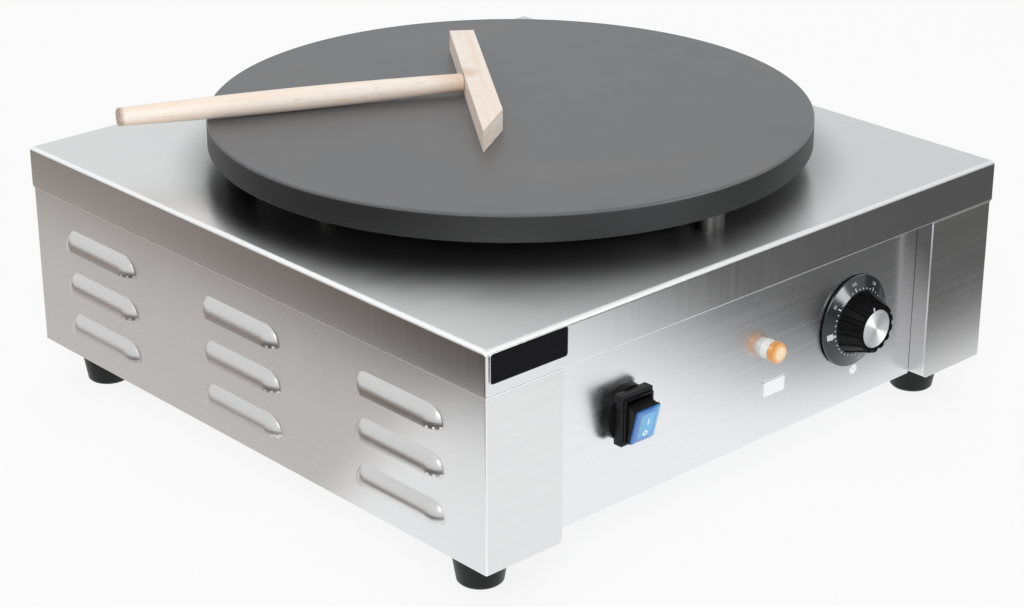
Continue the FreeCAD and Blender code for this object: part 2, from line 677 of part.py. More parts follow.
def front_panel():
    """Recessed control panel with openings for the switch, the lamp and the thermostat."""
    body = new_body("front_panel", y=FrontPanelY, z=HousingBottom)
    half, fold = FrontPanelHalf, S["EdgeFold"]
    plan = new_sketch(body, "XY_Plane")
    polygon(plan, [(-half, 0), (half, 0), (half, fold), (half - Sheet, fold),
                   (half - Sheet, Sheet), (-half + Sheet, Sheet), (-half + Sheet, fold),
                   (-half, fold)])
    pad(body, plan, LappedHeight)
    low = new_sketch(body, "XY_Plane")
    rectangle(low, -half + Sheet, half - Sheet, Sheet, fold)
    pad(body, low, Sheet)
    screws = new_sketch(body, "XY_Plane")
    for x in (-S["BaseScrewX"], S["BaseScrewX"]):
        circle(screws, x, fold / 2, SmallHole)
    pocket(body, screws, Sheet, reverse=True)
    face = new_sketch(body, "XZ_Plane")
    gap, half_x, half_z = S["SheetGap"], S["SwitchBodyWidth"] / 2, S["SwitchBodyHeight"] / 2
    rectangle(face, S["SwitchX"] - half_x - gap, S["SwitchX"] + half_x + gap,
              S["SwitchZ"] - half_z - gap, S["SwitchZ"] + half_z + gap)
    circle(face, S["LampX"], S["LampZ"], S["LampBarrel"] + S["StudGap"])
    circle(face, S["KnobX"], S["KnobZ"], S["BushRadius"] + S["StudGap"])
    for x in (-S["ThermostatScrewSpan"], S["ThermostatScrewSpan"]):
        circle(face, S["KnobX"] + x, S["KnobZ"], SmallHole)
    pocket(body, face, Sheet + S["SeatGap"])
    rivets = new_sketch(body, "YZ_Plane")
    for z in (S["RivetLow"], S["RivetLow"] + S["RivetPitch"]):
        circle(rivets, fold / 2, z, S["RivetRadius"] + S["StudGap"])
    pocket(body, rivets, S["HousingWidth"], both=True)
    return body


def rear_panel():
    """Rear sheet inside the side panels' flanges, with vent slots and the cable's hole."""
    body = new_body("rear_panel", y=RearPanelY, z=BasePlateTop + S["SeatGap"])
    half, fold = PanelHalfX - Sheet - S["ShoulderStep"] - Sheet - S["SheetGap"], S["EdgeFold"]
    plan = new_sketch(body, "XY_Plane")
    polygon(plan, [(-half, 0), (-half, -fold), (-half + Sheet, -fold), (-half + Sheet, -Sheet),
                   (half - Sheet, -Sheet), (half - Sheet, -fold), (half, -fold), (half, 0)])
    pad(body, plan, LappedHeight - 2 * Sheet - S["SeatGap"])
    low = new_sketch(body, "XY_Plane")
    rectangle(low, -half + Sheet, half - Sheet, -fold, -Sheet)
    pad(body, low, Sheet)
    screws = new_sketch(body, "XY_Plane")
    for x in (-S["BaseScrewX"], S["BaseScrewX"]):
        circle(screws, x, -fold / 2, SmallHole)
    pocket(body, screws, Sheet, reverse=True)
    cable = new_sketch(body, "XZ_Plane")
    circle(cable, GlandX, GlandLevel, S["GlandRadius"] + S["StudGap"])
    pocket(body, cable, Sheet + S["SeatGap"], reverse=True)
    slot = new_sketch(body, "XZ_Plane")
    low_vent = VentLow
    width, length = S["VentWidth"], S["VentLength"]
    first = -(VENT_SLOTS - 1) / 2 * S["VentPitch"]
    rectangle(slot, first - width / 2, first + width / 2, low_vent, low_vent + length)
    cut = pocket(body, slot, Sheet + S["SeatGap"], reverse=True)
    row(body, [cut], slot, "H_Axis", (VENT_SLOTS - 1) * S["VentPitch"], VENT_SLOTS)
    return body


def base_plate():
    """Flat bottom over the side panels' lower flanges, with slots for cooling air."""
    body = new_body("base_plate", z=HousingBottom + Sheet)
    half_x = PanelHalfX - Sheet - S["SheetGap"]
    half_tongue = FrontPanelHalf - Sheet - S["SheetGap"]
    front = -PanelHalfY + S["FlangeReturn"] + S["SheetGap"]
    tip = FrontPanelY + Sheet + S["SheetGap"]
    plan = new_sketch(body, "XY_Plane")
    polygon(plan, [(-half_x, front), (-half_tongue, front), (-half_tongue, tip),
                   (half_tongue, tip), (half_tongue, front), (half_x, front),
                   (half_x, RearPanelY), (-half_x, RearPanelY)])
    pad(body, plan, Sheet)
    holes = new_sketch(body, "XY_Plane")
    for x in (-FootX, FootX):
        for y in (-FootY, FootY):
            circle(holes, x, y, FootHole)
    for x in (-S["BaseScrewX"], S["BaseScrewX"]):
        circle(holes, x, FrontPanelY + S["EdgeFold"] / 2, SmallHole)
        circle(holes, x, RearPanelY - S["EdgeFold"] / 2, SmallHole)
    for x in (-BlockScrewX, BlockScrewX):
        circle(holes, GlandX + x, BlockY, SmallHole)
    circle(holes, EarthX, EarthY, S["EarthRadius"] + S["StudGap"])
    pocket(body, holes, Sheet, reverse=True)
    slot = new_sketch(body, "XY_Plane")
    first = -(BASE_SLOTS - 1) / 2 * S["VentPitch"]
    width, half = S["VentWidth"], S["VentLength"] / 2
    rectangle(slot, first - width / 2, first + width / 2, -half, half)
    cut = pocket(body, slot, Sheet, reverse=True)
    row(body, [cut], slot, "H_Axis", (BASE_SLOTS - 1) * S["VentPitch"], BASE_SLOTS)
    return body


def turned(label, points, **where):
    """Solid of revolution about the body's own z axis, from (radius, height) points."""
    body = new_body(label, **where)
    profile = new_sketch(body, "XZ_Plane")
    polygon(profile, points)
    revolve(body, profile)
    return body


def bored(label, outer, inner, height, **where):
    """Ring or tube standing on the body's origin."""
    return turned(label, [(inner, 0), (outer, 0), (outer, height), (inner, height)], **where)


def screw(label, head_radius, head_thick, radius, length, **where):
    """Screw whose head sits under the origin and whose shank points along z."""
    return turned(label, [(0, -head_thick), (head_radius, -head_thick), (head_radius, 0),
                          (radius, 0), (radius, length), (0, length)], **where)


def nut(label, flat, thick, bore, **where):
    body = new_body(label, **where)
    sides = new_sketch(body, "XY_Plane")
    hexagon(sides, flat)
    circle(sides, 0, 0, bore)
    pad(body, sides, thick)
    return body


def group(label, pieces):
    """One node that holds several separate, identical solids."""
    made = doc.addObject("Part::Compound", label)
    made.Label = label
    made.Links = pieces
    return made


def on_front(x, z, out=0.0, angle=90.0):
    """Placement on the front panel's face: local z points out of the panel."""
    return {"x": x, "y": FrontPanelY - out, "z": HousingBottom + z, "axis": (1, 0, 0),
            "angle": angle}


def griddle_plate():
    """Cast plate with a heater well underneath and blind holes for studs and screws."""
    body = new_body("griddle_plate", y=S["PlateShiftY"], z=PlateUnder)
    radius, thick, well = S["PlateRadius"], S["PlateThick"], S["PlateWell"]
    profile = new_sketch(body, "XZ_Plane")
    polygon(profile, [(0, well), (S["WellRadius"], well), (S["WellRadius"], 0), (radius, 0)]
            + rounded(radius, thick, S["PlateEdge"]) + [(0, thick)])
    revolve(body, profile)
    studs = new_sketch(body, "XY_Plane")
    stud_circles(studs)
    pocket(body, studs, S["StudReach"] + S["SheetGap"], reverse=True)
    bolt = new_sketch(body, "XY_Plane", well)
    circle(bolt, S["ClampScrewCircle"], 0, S["ClampScrewRadius"] + S["StudGap"])
    polar(body, [pocket(body, bolt, S["ClampScrewBite"] + S["SheetGap"], reverse=True)], bolt,
          CLAMP_SCREWS)
    ears = new_sketch(body, "XY_Plane", well)
    for x in (-ClipScrewX, ClipScrewX):
        circle(ears, x, 0, SmallHole)
    pocket(body, ears, S["ClampScrewBite"], reverse=True)
    return body


def plate_posts():
    """Three shouldered posts between deck and plate, with their washers and nuts."""
    gap, radius, stud = S["PlateGap"], S["PostRadius"], S["StudRadius"]
    clamp = S["PanSheet"] + S["WasherThick"]
    tail = clamp + S["NutThick"] + S["ClampSheet"]
    posts, washers, nuts = [], [], []
    for name, angle in zip(("front", "rear_right", "rear_left"), POST_ANGLES):
        spot = {"x": PostCircle * cosine(angle),
                "y": PostCircle * sine(angle) + S["PlateShiftY"]}
        posts.append(turned(f"plate_post_{name}", [
            (0, -tail), (stud, -tail), (stud, 0), (radius, 0), (radius, gap), (stud, gap),
            (stud, gap + S["StudReach"]), (0, gap + S["StudReach"])], z=DeckTop, **spot))
        washers.append(bored(f"washer_{name}", S["WasherRadius"], stud + S["StudGap"],
                             S["WasherThick"], z=DeckTop - clamp, **spot))
        nuts.append(nut(f"nut_{name}", S["NutFlat"], S["NutThick"], stud + S["StudGap"],
                        z=DeckTop - clamp - S["NutThick"], **spot))
    return posts + [group("post_washers", washers), group("post_nuts", nuts)]


def under_plate(label, height, level):
    return new_body(label, y=S["PlateShiftY"], z=PlateUnder + level - height)


def holed_disc(label, radius, thick, level):
    """Disc with the centre opening and the clamp screws' holes, its top at a level."""
    body = under_plate(label, thick, level)
    plan = new_sketch(body, "XY_Plane")
    circle(plan, 0, 0, radius)
    circle(plan, 0, 0, S["CentreHole"])
    pad(body, plan, thick)
    return body


def drill_clamp_holes(body):
    hole = new_sketch(body, "XY_Plane")
    circle(hole, S["ClampScrewCircle"], 0, S["ClampScrewRadius"] + S["StudGap"])
    polar(body, [pocket(body, hole, S["ClampSheet"], reverse=True)], hole, CLAMP_SCREWS)


def heater_stack():
    """Clamp plate, blanket and shield that press the heating element to the plate."""
    clamp = holed_disc("element_clamp_plate", S["ClampReach"], S["ClampSheet"], ClampTop)
    drill_clamp_holes(clamp)
    blanket = holed_disc("insulation_blanket", S["BlanketReach"], S["BlanketThick"], BlanketTop)
    shield = holed_disc("heat_shield", S["ClampReach"], S["ShieldSheet"], ShieldTop)
    drill_clamp_holes(shield)
    rim = new_sketch(shield, "XY_Plane")
    circle(rim, 0, 0, S["ClampReach"])
    circle(rim, 0, 0, S["ClampReach"] - S["ShieldSheet"])
    pad(shield, rim, S["BlanketThick"] + S["ShieldSheet"] - S["SeatGap"])
    shank = S["ShieldSheet"] - ShieldTop + S["PlateWell"] + S["ClampScrewBite"]
    screws = []
    for number in range(CLAMP_SCREWS):
        angle = 360.0 / CLAMP_SCREWS * number
        screws.append(screw(
            f"clamp_screw_{number + 1}", S["ClampHeadRadius"], S["ClampHeadThick"],
            S["ClampScrewRadius"], shank, x=S["ClampScrewCircle"] * cosine(angle),
            y=S["ClampScrewCircle"] * sine(angle) + S["PlateShiftY"],
            z=PlateUnder + ShieldTop - S["ShieldSheet"]))
    return [clamp, blanket, shield, group("clamp_screws", screws)]


def tube(label, path, aside, half, sides):
    """Flat-sided rod along a wire; one pair of its flats faces along aside."""
    start = path.Edges[0]
    first, ahead = start.valueAt(start.FirstParameter), start.tangentAt(start.FirstParameter)
    across, share = ahead.cross(aside), math.pi / sides
    turns = [(2 * corner + 1) * share for corner in range(sides)]
    reach = half / math.cos(share)
    corners = [first + aside * (reach * math.cos(t)) + across * (reach * math.sin(t))
               for t in turns]
    made = doc.addObject("Part::Feature", label)
    made.Label = label
    made.Shape = path.makePipeShell([Part.makePolygon(corners + corners[:1])], True, False)
    return made


def heating_element():
    """Square-pressed double spiral whose two ends turn down through the deck's opening."""
    level = number_of(PlateUnder + ElementLevel)
    shift, step, start = (S[n].number for n in ("PlateShiftY", "CoilStep", "CoilStart"))
    bend, tail = S["LegBend"].number, number_of(DeckTop - S["LegEnd"])

    def spot(x, y):
        return V(x, y + shift, level)

    def half_circle(x0, x1, side):
        radius = abs(x1 - x0) / 2
        return Part.Arc(spot(x0, 0), spot((x0 + x1) / 2, side * radius), spot(x1, 0)).toShape()

    def leg(x, way):
        """Vertical end at x, bending towards the coil's start."""
        low, high = V(x, shift - way * bend, tail), V(x, shift - way * bend, level - bend)
        quarter = bend * math.sqrt(0.5)
        middle = V(x, shift - way * quarter, level - bend + quarter)
        return [Part.LineSegment(low, high).toShape(), Part.Arc(high, middle, spot(x, 0)).toShape()]

    outward = []
    x, side = start, 1
    for _ in range(COIL_HALF_TURNS):
        far = -math.copysign(abs(x) + step, x)
        outward.append(half_circle(x, far, side))
        x, side = far, -side
    edges = leg(start, 1) + outward
    turn_back = x + step
    edges.append(half_circle(x, turn_back, -1))
    inward = []
    x, side = -start, -1
    for _ in range(COIL_HALF_TURNS - 1):
        far = -math.copysign(abs(x) + step, x)
        inward.append(half_circle(x, far, side))
        x, side = far, -side
    edges += inward[::-1] + leg(-start, -1)[::-1]
    path = Part.Wire(Part.__sortEdges__(edges))
    return tube("heating_element", path, V(1, 0, 0), S["TubeHalf"].number, 4)


def sensor():
    """Bulb against the plate, its clip and screws, and the capillary to the thermostat."""
    radius, half = S["BulbRadius"], S["BulbLength"] / 2
    level = PlateUnder + S["PlateWell"] - S["SheetGap"] - radius
    bulb = turned("sensor_bulb", [(0, -half), (radius, -half), (radius, half), (0, half)],
                  y=S["PlateShiftY"], z=level, axis=(1, 0, 0), angle=90.0)
    clip = new_body("sensor_clip", y=S["PlateShiftY"], z=PlateUnder + S["PlateWell"])
    section = new_sketch(clip, "XZ_Plane")
    inner = radius + S["SheetGap"]
    outer, drop, skin = inner + S["ClipSheet"], 2 * inner, S["ClipSheet"]
    ear = outer + S["ClipEar"]
    polygon(section, [(-ear, 0), (-inner, 0), (-inner, -drop), (inner, -drop), (inner, 0),
                      (ear, 0), (ear, -skin), (outer, -skin), (outer, -drop - skin),
                      (-outer, -drop - skin), (-outer, -skin), (-ear, -skin)])
    pad(clip, section, S["ClipWidth"], both=True)
    holes = new_sketch(clip, "XY_Plane")
    for x in (-ClipScrewX, ClipScrewX):
        circle(holes, x, 0, SmallHole)
    pocket(clip, holes, skin)
    screws = [screw(f"clip_screw_{name}", S["SmallHeadRadius"], S["SmallHeadThick"],
                    S["SmallScrewRadius"], S["ClampScrewBite"], x=x, y=S["PlateShiftY"],
                    z=PlateUnder + S["PlateWell"] - skin)
              for name, x in (("left", -ClipScrewX), ("right", ClipScrewX))]
    return [bulb, clip, group("sensor_screws", screws), capillary_tube(level)]


def capillary_tube(level):
    """From the bulb down through the deck's opening and across to the thermostat's back."""
    bend = S["CapillaryBend"].number
    start = V(0, number_of(S["PlateShiftY"] - S["BulbLength"] / 2 - S["SeatGap"]), level.number)
    back = FrontPanelY + Sheet + S["ThermostatDepth"] + S["SeatGap"]
    knob = V(S["KnobX"].number, number_of(back), number_of(HousingBottom + S["KnobZ"]))
    drop = start + V(0, -2 * bend, 0)
    spots = [start, drop, V(drop.x, drop.y, knob.z), V(knob.x, drop.y, knob.z), knob]
    edges, tail = [], spots[0]
    for before, corner, after in zip(spots, spots[1:], spots[2:]):
        back_way, on_way = (before - corner).normalize(), (after - corner).normalize()
        into, out_of = corner + back_way * bend, corner + on_way * bend
        middle = corner + (back_way + on_way) * (bend * (1 - math.sqrt(0.5)))
        edges += [Part.LineSegment(tail, into).toShape(), Part.Arc(into, middle, out_of).toShape()]
        tail = out_of
    edges.append(Part.LineSegment(tail, spots[-1]).toShape())
    return tube("capillary_tube", Part.Wire(edges), V(1, 0, 0), S["CapillaryRadius"].number, 6)


def feet():
    """Four tapered feet, each held by a screw and a nut through flange and base plate."""
    low, high, edge, height = (S[n] for n in ("FootLowRadius", "FootTopRadius", "FootEdge",
                                              "FootHeight"))
    well, well_radius, bore = S["FootWell"], S["FootWellRadius"], FootHole
    shank = HousingBottom + 2 * Sheet + S["SmallNutThick"] - well + OVERCUT
    soles, screws, nuts = [], [], []
    for side, x in (("left", -FootX), ("right", FootX)):
        for end, y in (("front", -FootY), ("rear", FootY)):
            soles.append(turned(f"foot_{end}_{side}", [
                (well_radius, 0), (low - edge, 0), (low, edge), (high, height),
                (bore, height), (bore, well), (well_radius, well)], x=x, y=y))
            screws.append(screw(f"foot_screw_{end}_{side}", S["FootHeadRadius"],
                                S["FootHeadThick"], S["FootScrewRadius"], shank,
                                x=x, y=y, z=well))
            nuts.append(nut(f"foot_nut_{end}_{side}", S["EarthFlat"], S["SmallNutThick"],
                            FootHole, x=x, y=y, z=BasePlateTop))
    return soles + [group("foot_screws", screws), group("foot_nuts", nuts)]


def panel_fasteners():
    """Screws through the base plate's ends and rivets through the front panel's folds."""
    fold = S["EdgeFold"] / 2
    screws = []
    for name, x in (("left", -S["BaseScrewX"]), ("right", S["BaseScrewX"])):
        for end, y, z in (("front", FrontPanelY + fold, HousingBottom),
                          ("rear", RearPanelY - fold, HousingBottom + Sheet)):
            screws.append(screw(f"base_screw_{end}_{name}", S["SmallHeadRadius"],
                                S["SmallHeadThick"], S["SmallScrewRadius"],
                                S["SmallScrewLength"], x=x, y=y, z=z))
    rivets = []
    radius, head, skin = S["RivetRadius"], S["RivetHead"], S["SmallHeadThick"]
    grip = 2 * Sheet + S["SheetGap"]
    for name, x, angle in (("left", -FrontPanelHalf + Sheet, -90.0),
                           ("right", FrontPanelHalf - Sheet, 90.0)):
        for spot, z in (("low", S["RivetLow"]), ("high", S["RivetLow"] + S["RivetPitch"])):
            rivets.append(turned(f"rivet_{name}_{spot}", [
                (0, -skin), (head, -skin), (head, 0), (radius, 0), (radius, grip),
                (head, grip), (head, grip + skin), (0, grip + skin)],
                x=x, y=FrontPanelY + fold, z=HousingBottom + z, axis=(0, 1, 0), angle=angle))
    return [group("base_screws", screws), group("panel_rivets", rivets)]


def power_switch():
    """Round gasket, stepped bezel, body with terminals, and the rocker on its pin."""
    x, z, gap = S["SwitchX"], S["SwitchZ"], S["SheetGap"]
    half_x, half_z = S["SwitchBodyWidth"] / 2, S["SwitchBodyHeight"] / 2
    gasket = new_body("switch_gasket", **on_front(x, z))
    ring = new_sketch(gasket, "XY_Plane")
    circle(ring, 0, 0, S["GasketRadius"])
    rectangle(ring, -half_x - gap, half_x + gap, -half_z - gap, half_z + gap)
    pad(gasket, ring, S["GasketThick"])

    bezel = new_body("switch_bezel", **on_front(x, z))
    wide, tall = S["BezelWidth"] / 2, S["BezelHeight"] / 2
    mouth_x, mouth_z = S["SwitchMouthWidth"] / 2, S["SwitchMouthHeight"] / 2
    block = new_sketch(bezel, "XY_Plane", S["GasketThick"])
    rectangle(block, -wide, wide, -tall, tall)
    first = pad(bezel, block, S["BezelThick"])
    face = number_of(S["GasketThick"] + S["BezelThick"])
    first = soften(bezel, first, lambda b: b.ZLength > 1 or flat_at(b.ZMin, b.ZMax, face),
                   S["OuterRound"])
    frame = new_sketch(bezel, "XY_Plane", S["GasketThick"] + S["BezelThick"])
    wide, tall = S["FrameWidth"] / 2, S["FrameHeight"] / 2
    rectangle(frame, -wide, wide, -tall, tall)
    pad(bezel, frame, S["FrameThick"])
    mouth = new_sketch(bezel, "XY_Plane", FrameFace)
    rectangle(mouth, -mouth_x, mouth_x, -mouth_z, mouth_z)
    pocket(bezel, mouth)
    bearing = new_sketch(bezel, "YZ_Plane")
    circle(bearing, 0, PivotLevel, S["PivotRadius"] + S["ShaftGap"])
    pocket(bezel, bearing, S["PivotLength"] + gap, both=True)

    shell = new_body("switch_housing", **on_front(x, z))
    depth, wall = S["SwitchBodyDepth"], S["SwitchWall"]
    outline = new_sketch(shell, "XY_Plane", -depth)
    rectangle(outline, -half_x, half_x, -half_z, half_z)
    pad(shell, outline, depth + S["GasketThick"])
    cavity = new_sketch(shell, "XY_Plane", S["GasketThick"])
    rectangle(cavity, -half_x + wall, half_x - wall, -half_z + wall, half_z - wall)
    pocket(shell, cavity, depth + S["GasketThick"] - wall)
    slots = new_sketch(shell, "XY_Plane", -depth)
    blade_x, blade_z = S["BladeWidth"] / 2 + S["StudGap"], S["BladeThick"] / 2 + S["StudGap"]
    places = [("upper", S["BladePitch"] / 2), ("lower", -S["BladePitch"] / 2)]
    for _, level in places:
        rectangle(slots, -blade_x, blade_x, level - blade_z, level + blade_z)
    pocket(shell, slots, wall, reverse=True)
    blades = []
    for name, level in places:
        blade = new_body(f"blade_{name}", **on_front(x, z + level, -depth))
        section = new_sketch(blade, "XY_Plane")
        blade_x, blade_z = S["BladeWidth"] / 2, S["BladeThick"] / 2
        rectangle(section, -blade_x, blade_x, -blade_z, blade_z)
        pad(blade, section, S["BladeLength"], both=True)
        blades.append(blade)

    tilt = S["RockerTilt"]
    pivot = on_front(x, z, PivotLevel, 90 + tilt)
    rocker = new_body("rocker_button", **pivot)
    stem, cap = S["StemHeight"] / 2, S["RockerHeight"] / 2
    flat = S["RockerReach"] - S["LensThick"]

    def underside(height):
        """Depth at which the pressed end just clears the frame."""
        return (S["PivotDepth"] + S["RockerGap"] + height * sine(tilt)) / cosine(tilt)

    core = new_sketch(rocker, "YZ_Plane")
    polygon(core, [(-stem, -S["StemBack"]), (stem, -S["StemBack"]), (stem, flat), (-stem, flat)])
    pad(rocker, core, S["StemWidth"], both=True)
    block_end, back = S["BlockTall"] / 2, S["BlockBack"]
    block_side = S["SwitchMouthWidth"] - 2 * S["BlockGap"]
    block = new_sketch(rocker, "YZ_Plane")
    polygon(block, [(-block_end, back), (block_end, back), (block_end, flat), (-block_end, flat)])
    pad(rocker, block, block_side, both=True)
    top = new_sketch(rocker, "YZ_Plane")
    polygon(top, [(-block_end, underside(block_end)), (block_end, underside(block_end)),
                  (cap, underside(cap)), (cap, flat), (-cap, flat), (-cap, underside(cap))])
    head = pad(rocker, top, S["RockerWidth"], both=True)
    side = S["RockerWidth"].number / 2
    soften(rocker, head, lambda b: b.ZMax > flat.number - 0.01 and 0.5 < b.ZLength < 1.5
           and flat_at(abs(b.XMin), abs(b.XMax), side)
           and flat_at(abs(b.YMin), abs(b.YMax), cap.number), S["RockerRound"])
    bore = new_sketch(rocker, "YZ_Plane")
    circle(bore, 0, 0, S["PivotRadius"] + S["ShaftGap"])
    pocket(rocker, bore, S["RockerWidth"], both=True)
    lens = new_body("rocker_lens", **pivot)
    pane = new_sketch(lens, "XY_Plane", flat)
    rim = S["LensMargin"]
    wide = S["RockerWidth"] / 2 - rim
    rectangle(pane, -wide, wide, -cap + rim, cap - rim)
    slab = pad(lens, pane, S["LensThick"])
    soften(lens, slab, lambda b: b.ZLength > 1, S["RockerRound"] - rim)
    pin = new_body("rocker_pin", **on_front(x, z, PivotLevel))
    rod = new_sketch(pin, "YZ_Plane")
    circle(rod, 0, 0, S["PivotRadius"])
    pad(pin, rod, S["PivotLength"], both=True)
    return [gasket, bezel, shell, group("switch_terminals", blades), rocker, lens, pin]


def pilot_lamp():
    """Lamp body through the panel, its lens in front and its nut behind."""
    spot = on_front(S["LampX"], S["LampZ"])
    barrel, flange, collar = S["LampBarrel"], S["LampFlange"], S["LampCollar"]
    front, spigot = S["LampCollarDepth"], S["LampSpigot"]
    tip = front + S["LampSpigotLength"]
    body = turned("lamp_body", [(0, -S["LampBarrelDepth"]), (barrel, -S["LampBarrelDepth"]),
                                (barrel, 0), (flange, 0), (flange, S["LampFlangeThick"]),
                                (collar, S["LampFlangeThick"]), (collar, front),
                                (spigot, front), (spigot, tip), (0, tip)], **spot)
    inner, outer = spigot + S["SheetGap"], S["LampLens"]
    face = front + S["LampLensDepth"]
    lens = turned("lamp_lens", [(0, tip + S["SheetGap"]), (inner, tip + S["SheetGap"]),
                                (inner, front), (outer, front)]
                  + rounded(outer, face, S["LensRound"]) + [(0, face)], **spot)
    ring = nut("lamp_nut", S["LampNutFlat"], S["LampNutThick"], barrel + S["StudGap"],
               **on_front(S["LampX"], S["LampZ"], -Sheet - S["LampNutThick"]))
    return [body, lens, ring]


def thermostat():
    """Control behind the panel, its screws, and the turning shaft, dial, grip and cap."""
    x, z = S["KnobX"], S["KnobZ"]
    body = new_body("thermostat_body", **on_front(x, z))
    wide, tall = S["ThermostatWidth"] / 2, S["ThermostatHeight"] / 2
    case = new_sketch(body, "XY_Plane", -Sheet)
    rectangle(case, -wide, wide, -tall, tall)
    pad(body, case, S["ThermostatDepth"], reverse=True)
    bush = new_sketch(body, "XY_Plane", -Sheet)
    circle(bush, 0, 0, S["BushRadius"])
    pad(body, bush, Sheet)
    shaft_hole = new_sketch(body, "XY_Plane")
    circle(shaft_hole, 0, 0, ShaftBore)
    pocket(body, shaft_hole, S["ShaftDepth"] + S["SheetGap"])
    screw_holes = new_sketch(body, "XY_Plane", -Sheet)
    span = S["ThermostatScrewSpan"]
    for side in (-span, span):
        circle(screw_holes, side, 0, SmallHole)
    pocket(body, screw_holes, S["SmallScrewLength"])
    screws = [screw(f"thermostat_screw_{name}", S["SmallHeadRadius"], S["SmallHeadThick"],
                    S["SmallScrewRadius"], S["SmallScrewLength"], **on_front(x + side, z, 0, -90.0))
              for name, side in (("left", -span), ("right", span))]
    spot = on_front(x, z)
    shaft = turned("thermostat_shaft", [
        (0, -S["ShaftDepth"]), (S["ShaftRadius"], -S["ShaftDepth"]),
        (S["ShaftRadius"], DialFace + S["GripBore"] - S["SheetGap"]),
        (0, DialFace + S["GripBore"] - S["SheetGap"])], **spot)
    back, rim, radius = S["DialStandoff"], S["DialStandoff"] + S["DialRim"], S["DialRadius"]
    dial = turned("dial_skirt", [(ShaftBore, back), (radius, back), (radius, rim),
                                 (S["GripBaseRadius"], DialFace), (ShaftBore, DialFace)], **spot)
    grip = new_body("knob_grip", **spot)
    front = DialFace + S["GripHeight"]
    seat = S["CapRadius"] + S["SheetGap"]
    profile = new_sketch(grip, "XZ_Plane")
    polygon(profile, [(ShaftBore, DialFace), (S["GripBaseRadius"], DialFace),
                      (S["GripFrontRadius"], front), (seat, front), (seat, front - S["CapRecess"]),
                      (0, front - S["CapRecess"]), (0, DialFace + S["GripBore"]),
                      (ShaftBore, DialFace + S["GripBore"])])
    revolve(grip, profile)
    compass = new_sketch(grip, "XY_Plane")
    taper = (S["GripBaseRadius"] - S["GripFrontRadius"]) / S["GripHeight"]
    lean = inverse("atan", taper)
    flute = grip.newObject("PartDesign::SubtractiveCylinder", "knob_grip_flute")
    bind(flute, "Radius", S["FluteRadius"])
    bind(flute, "Height", S["GripHeight"] + 4 * S["FluteRadius"])
    start = S["FluteRadius"] * 2
    place(flute, x=S["GripBaseRadius"] + S["FluteRadius"] - S["FluteDepth"] + start * taper,
          z=DialFace - start, axis=(0, -1, 0), angle=lean)
    polar(grip, [flute], compass, FLUTES)
    cap = turned("knob_cap", [(0, 0), (S["CapRadius"], 0), (S["CapRadius"], S["CapThick"]),
                              (0, S["CapThick"])],
                 **on_front(x, z, front - S["CapRecess"]))
    return [body, group("thermostat_screws", screws), shaft, dial, grip, cap]


def supply():
    """Cable gland and nut, terminal block with its screws, and the earth stud."""
    spot = {"x": GlandX, "z": HousingBottom + S["GlandZ"], "axis": (1, 0, 0), "angle": -90.0}
    barrel, bore, hexagon_thick = S["GlandRadius"], S["GlandBore"], S["GlandHexThick"]
    gland = new_body("cable_gland", y=RearPanelY, **spot)
    core = new_sketch(gland, "XZ_Plane")
    tip = hexagon_thick + S["GlandDome"]
    polygon(core, [(bore, -S["GlandInside"]), (barrel, -S["GlandInside"]), (barrel, tip),
                   (bore, tip)])
    revolve(gland, core)
    flats = new_sketch(gland, "XY_Plane")
    hexagon(flats, S["GlandFlat"])
    circle(flats, 0, 0, (bore + barrel) / 2)
    pad(gland, flats, hexagon_thick)
    ring = nut("gland_nut", S["GlandFlat"], S["GlandNutThick"], barrel + S["StudGap"],
               y=RearPanelY - Sheet - S["GlandNutThick"], **spot)
    block = new_body("terminal_block", x=GlandX, y=BlockY, z=BasePlateTop)
    half_x, half_y, height = S["BlockWidth"] / 2, S["BlockDepth"] / 2, S["BlockHeight"]
    plan = new_sketch(block, "XY_Plane")
    rectangle(plan, -half_x, half_x, -half_y, half_y)
    pad(block, plan, height)
    channels = new_sketch(block, "XZ_Plane")
    for x in (-S["BlockPitch"], 0, S["BlockPitch"]):
        circle(channels, x, height / 2, S["BlockChannel"])
    pocket(block, channels, S["BlockDepth"], both=True)
    ends = new_sketch(block, "XY_Plane", height)
    for x in (-BlockScrewX, BlockScrewX):
        circle(ends, x, 0, SmallHole)
    pocket(block, ends)
    shank = height + Sheet + S["SmallNutThick"] - S["SheetGap"]
    screws = [screw(f"block_screw_{name}", S["SmallHeadRadius"] - S["SheetGap"],
                    S["SmallHeadThick"], S["SmallScrewRadius"], shank, x=GlandX + x,
                    y=BlockY, z=BasePlateTop + height, axis=(1, 0, 0), angle=180.0)
              for name, x in (("left", -BlockScrewX), ("right", BlockScrewX))]
    stud = screw("earth_stud", S["FootHeadRadius"], S["SmallHeadThick"], S["EarthRadius"],
                 Sheet + 3 * S["SmallNutThick"], x=EarthX, y=EarthY,
                 z=HousingBottom + Sheet)
    earth_nut = nut("earth_nut", S["EarthFlat"], S["SmallNutThick"],
                    S["EarthRadius"] + S["StudGap"], x=EarthX, y=EarthY, z=BasePlateTop)
    return [gland, ring, block, group("block_screws", screws), stud, earth_nut]


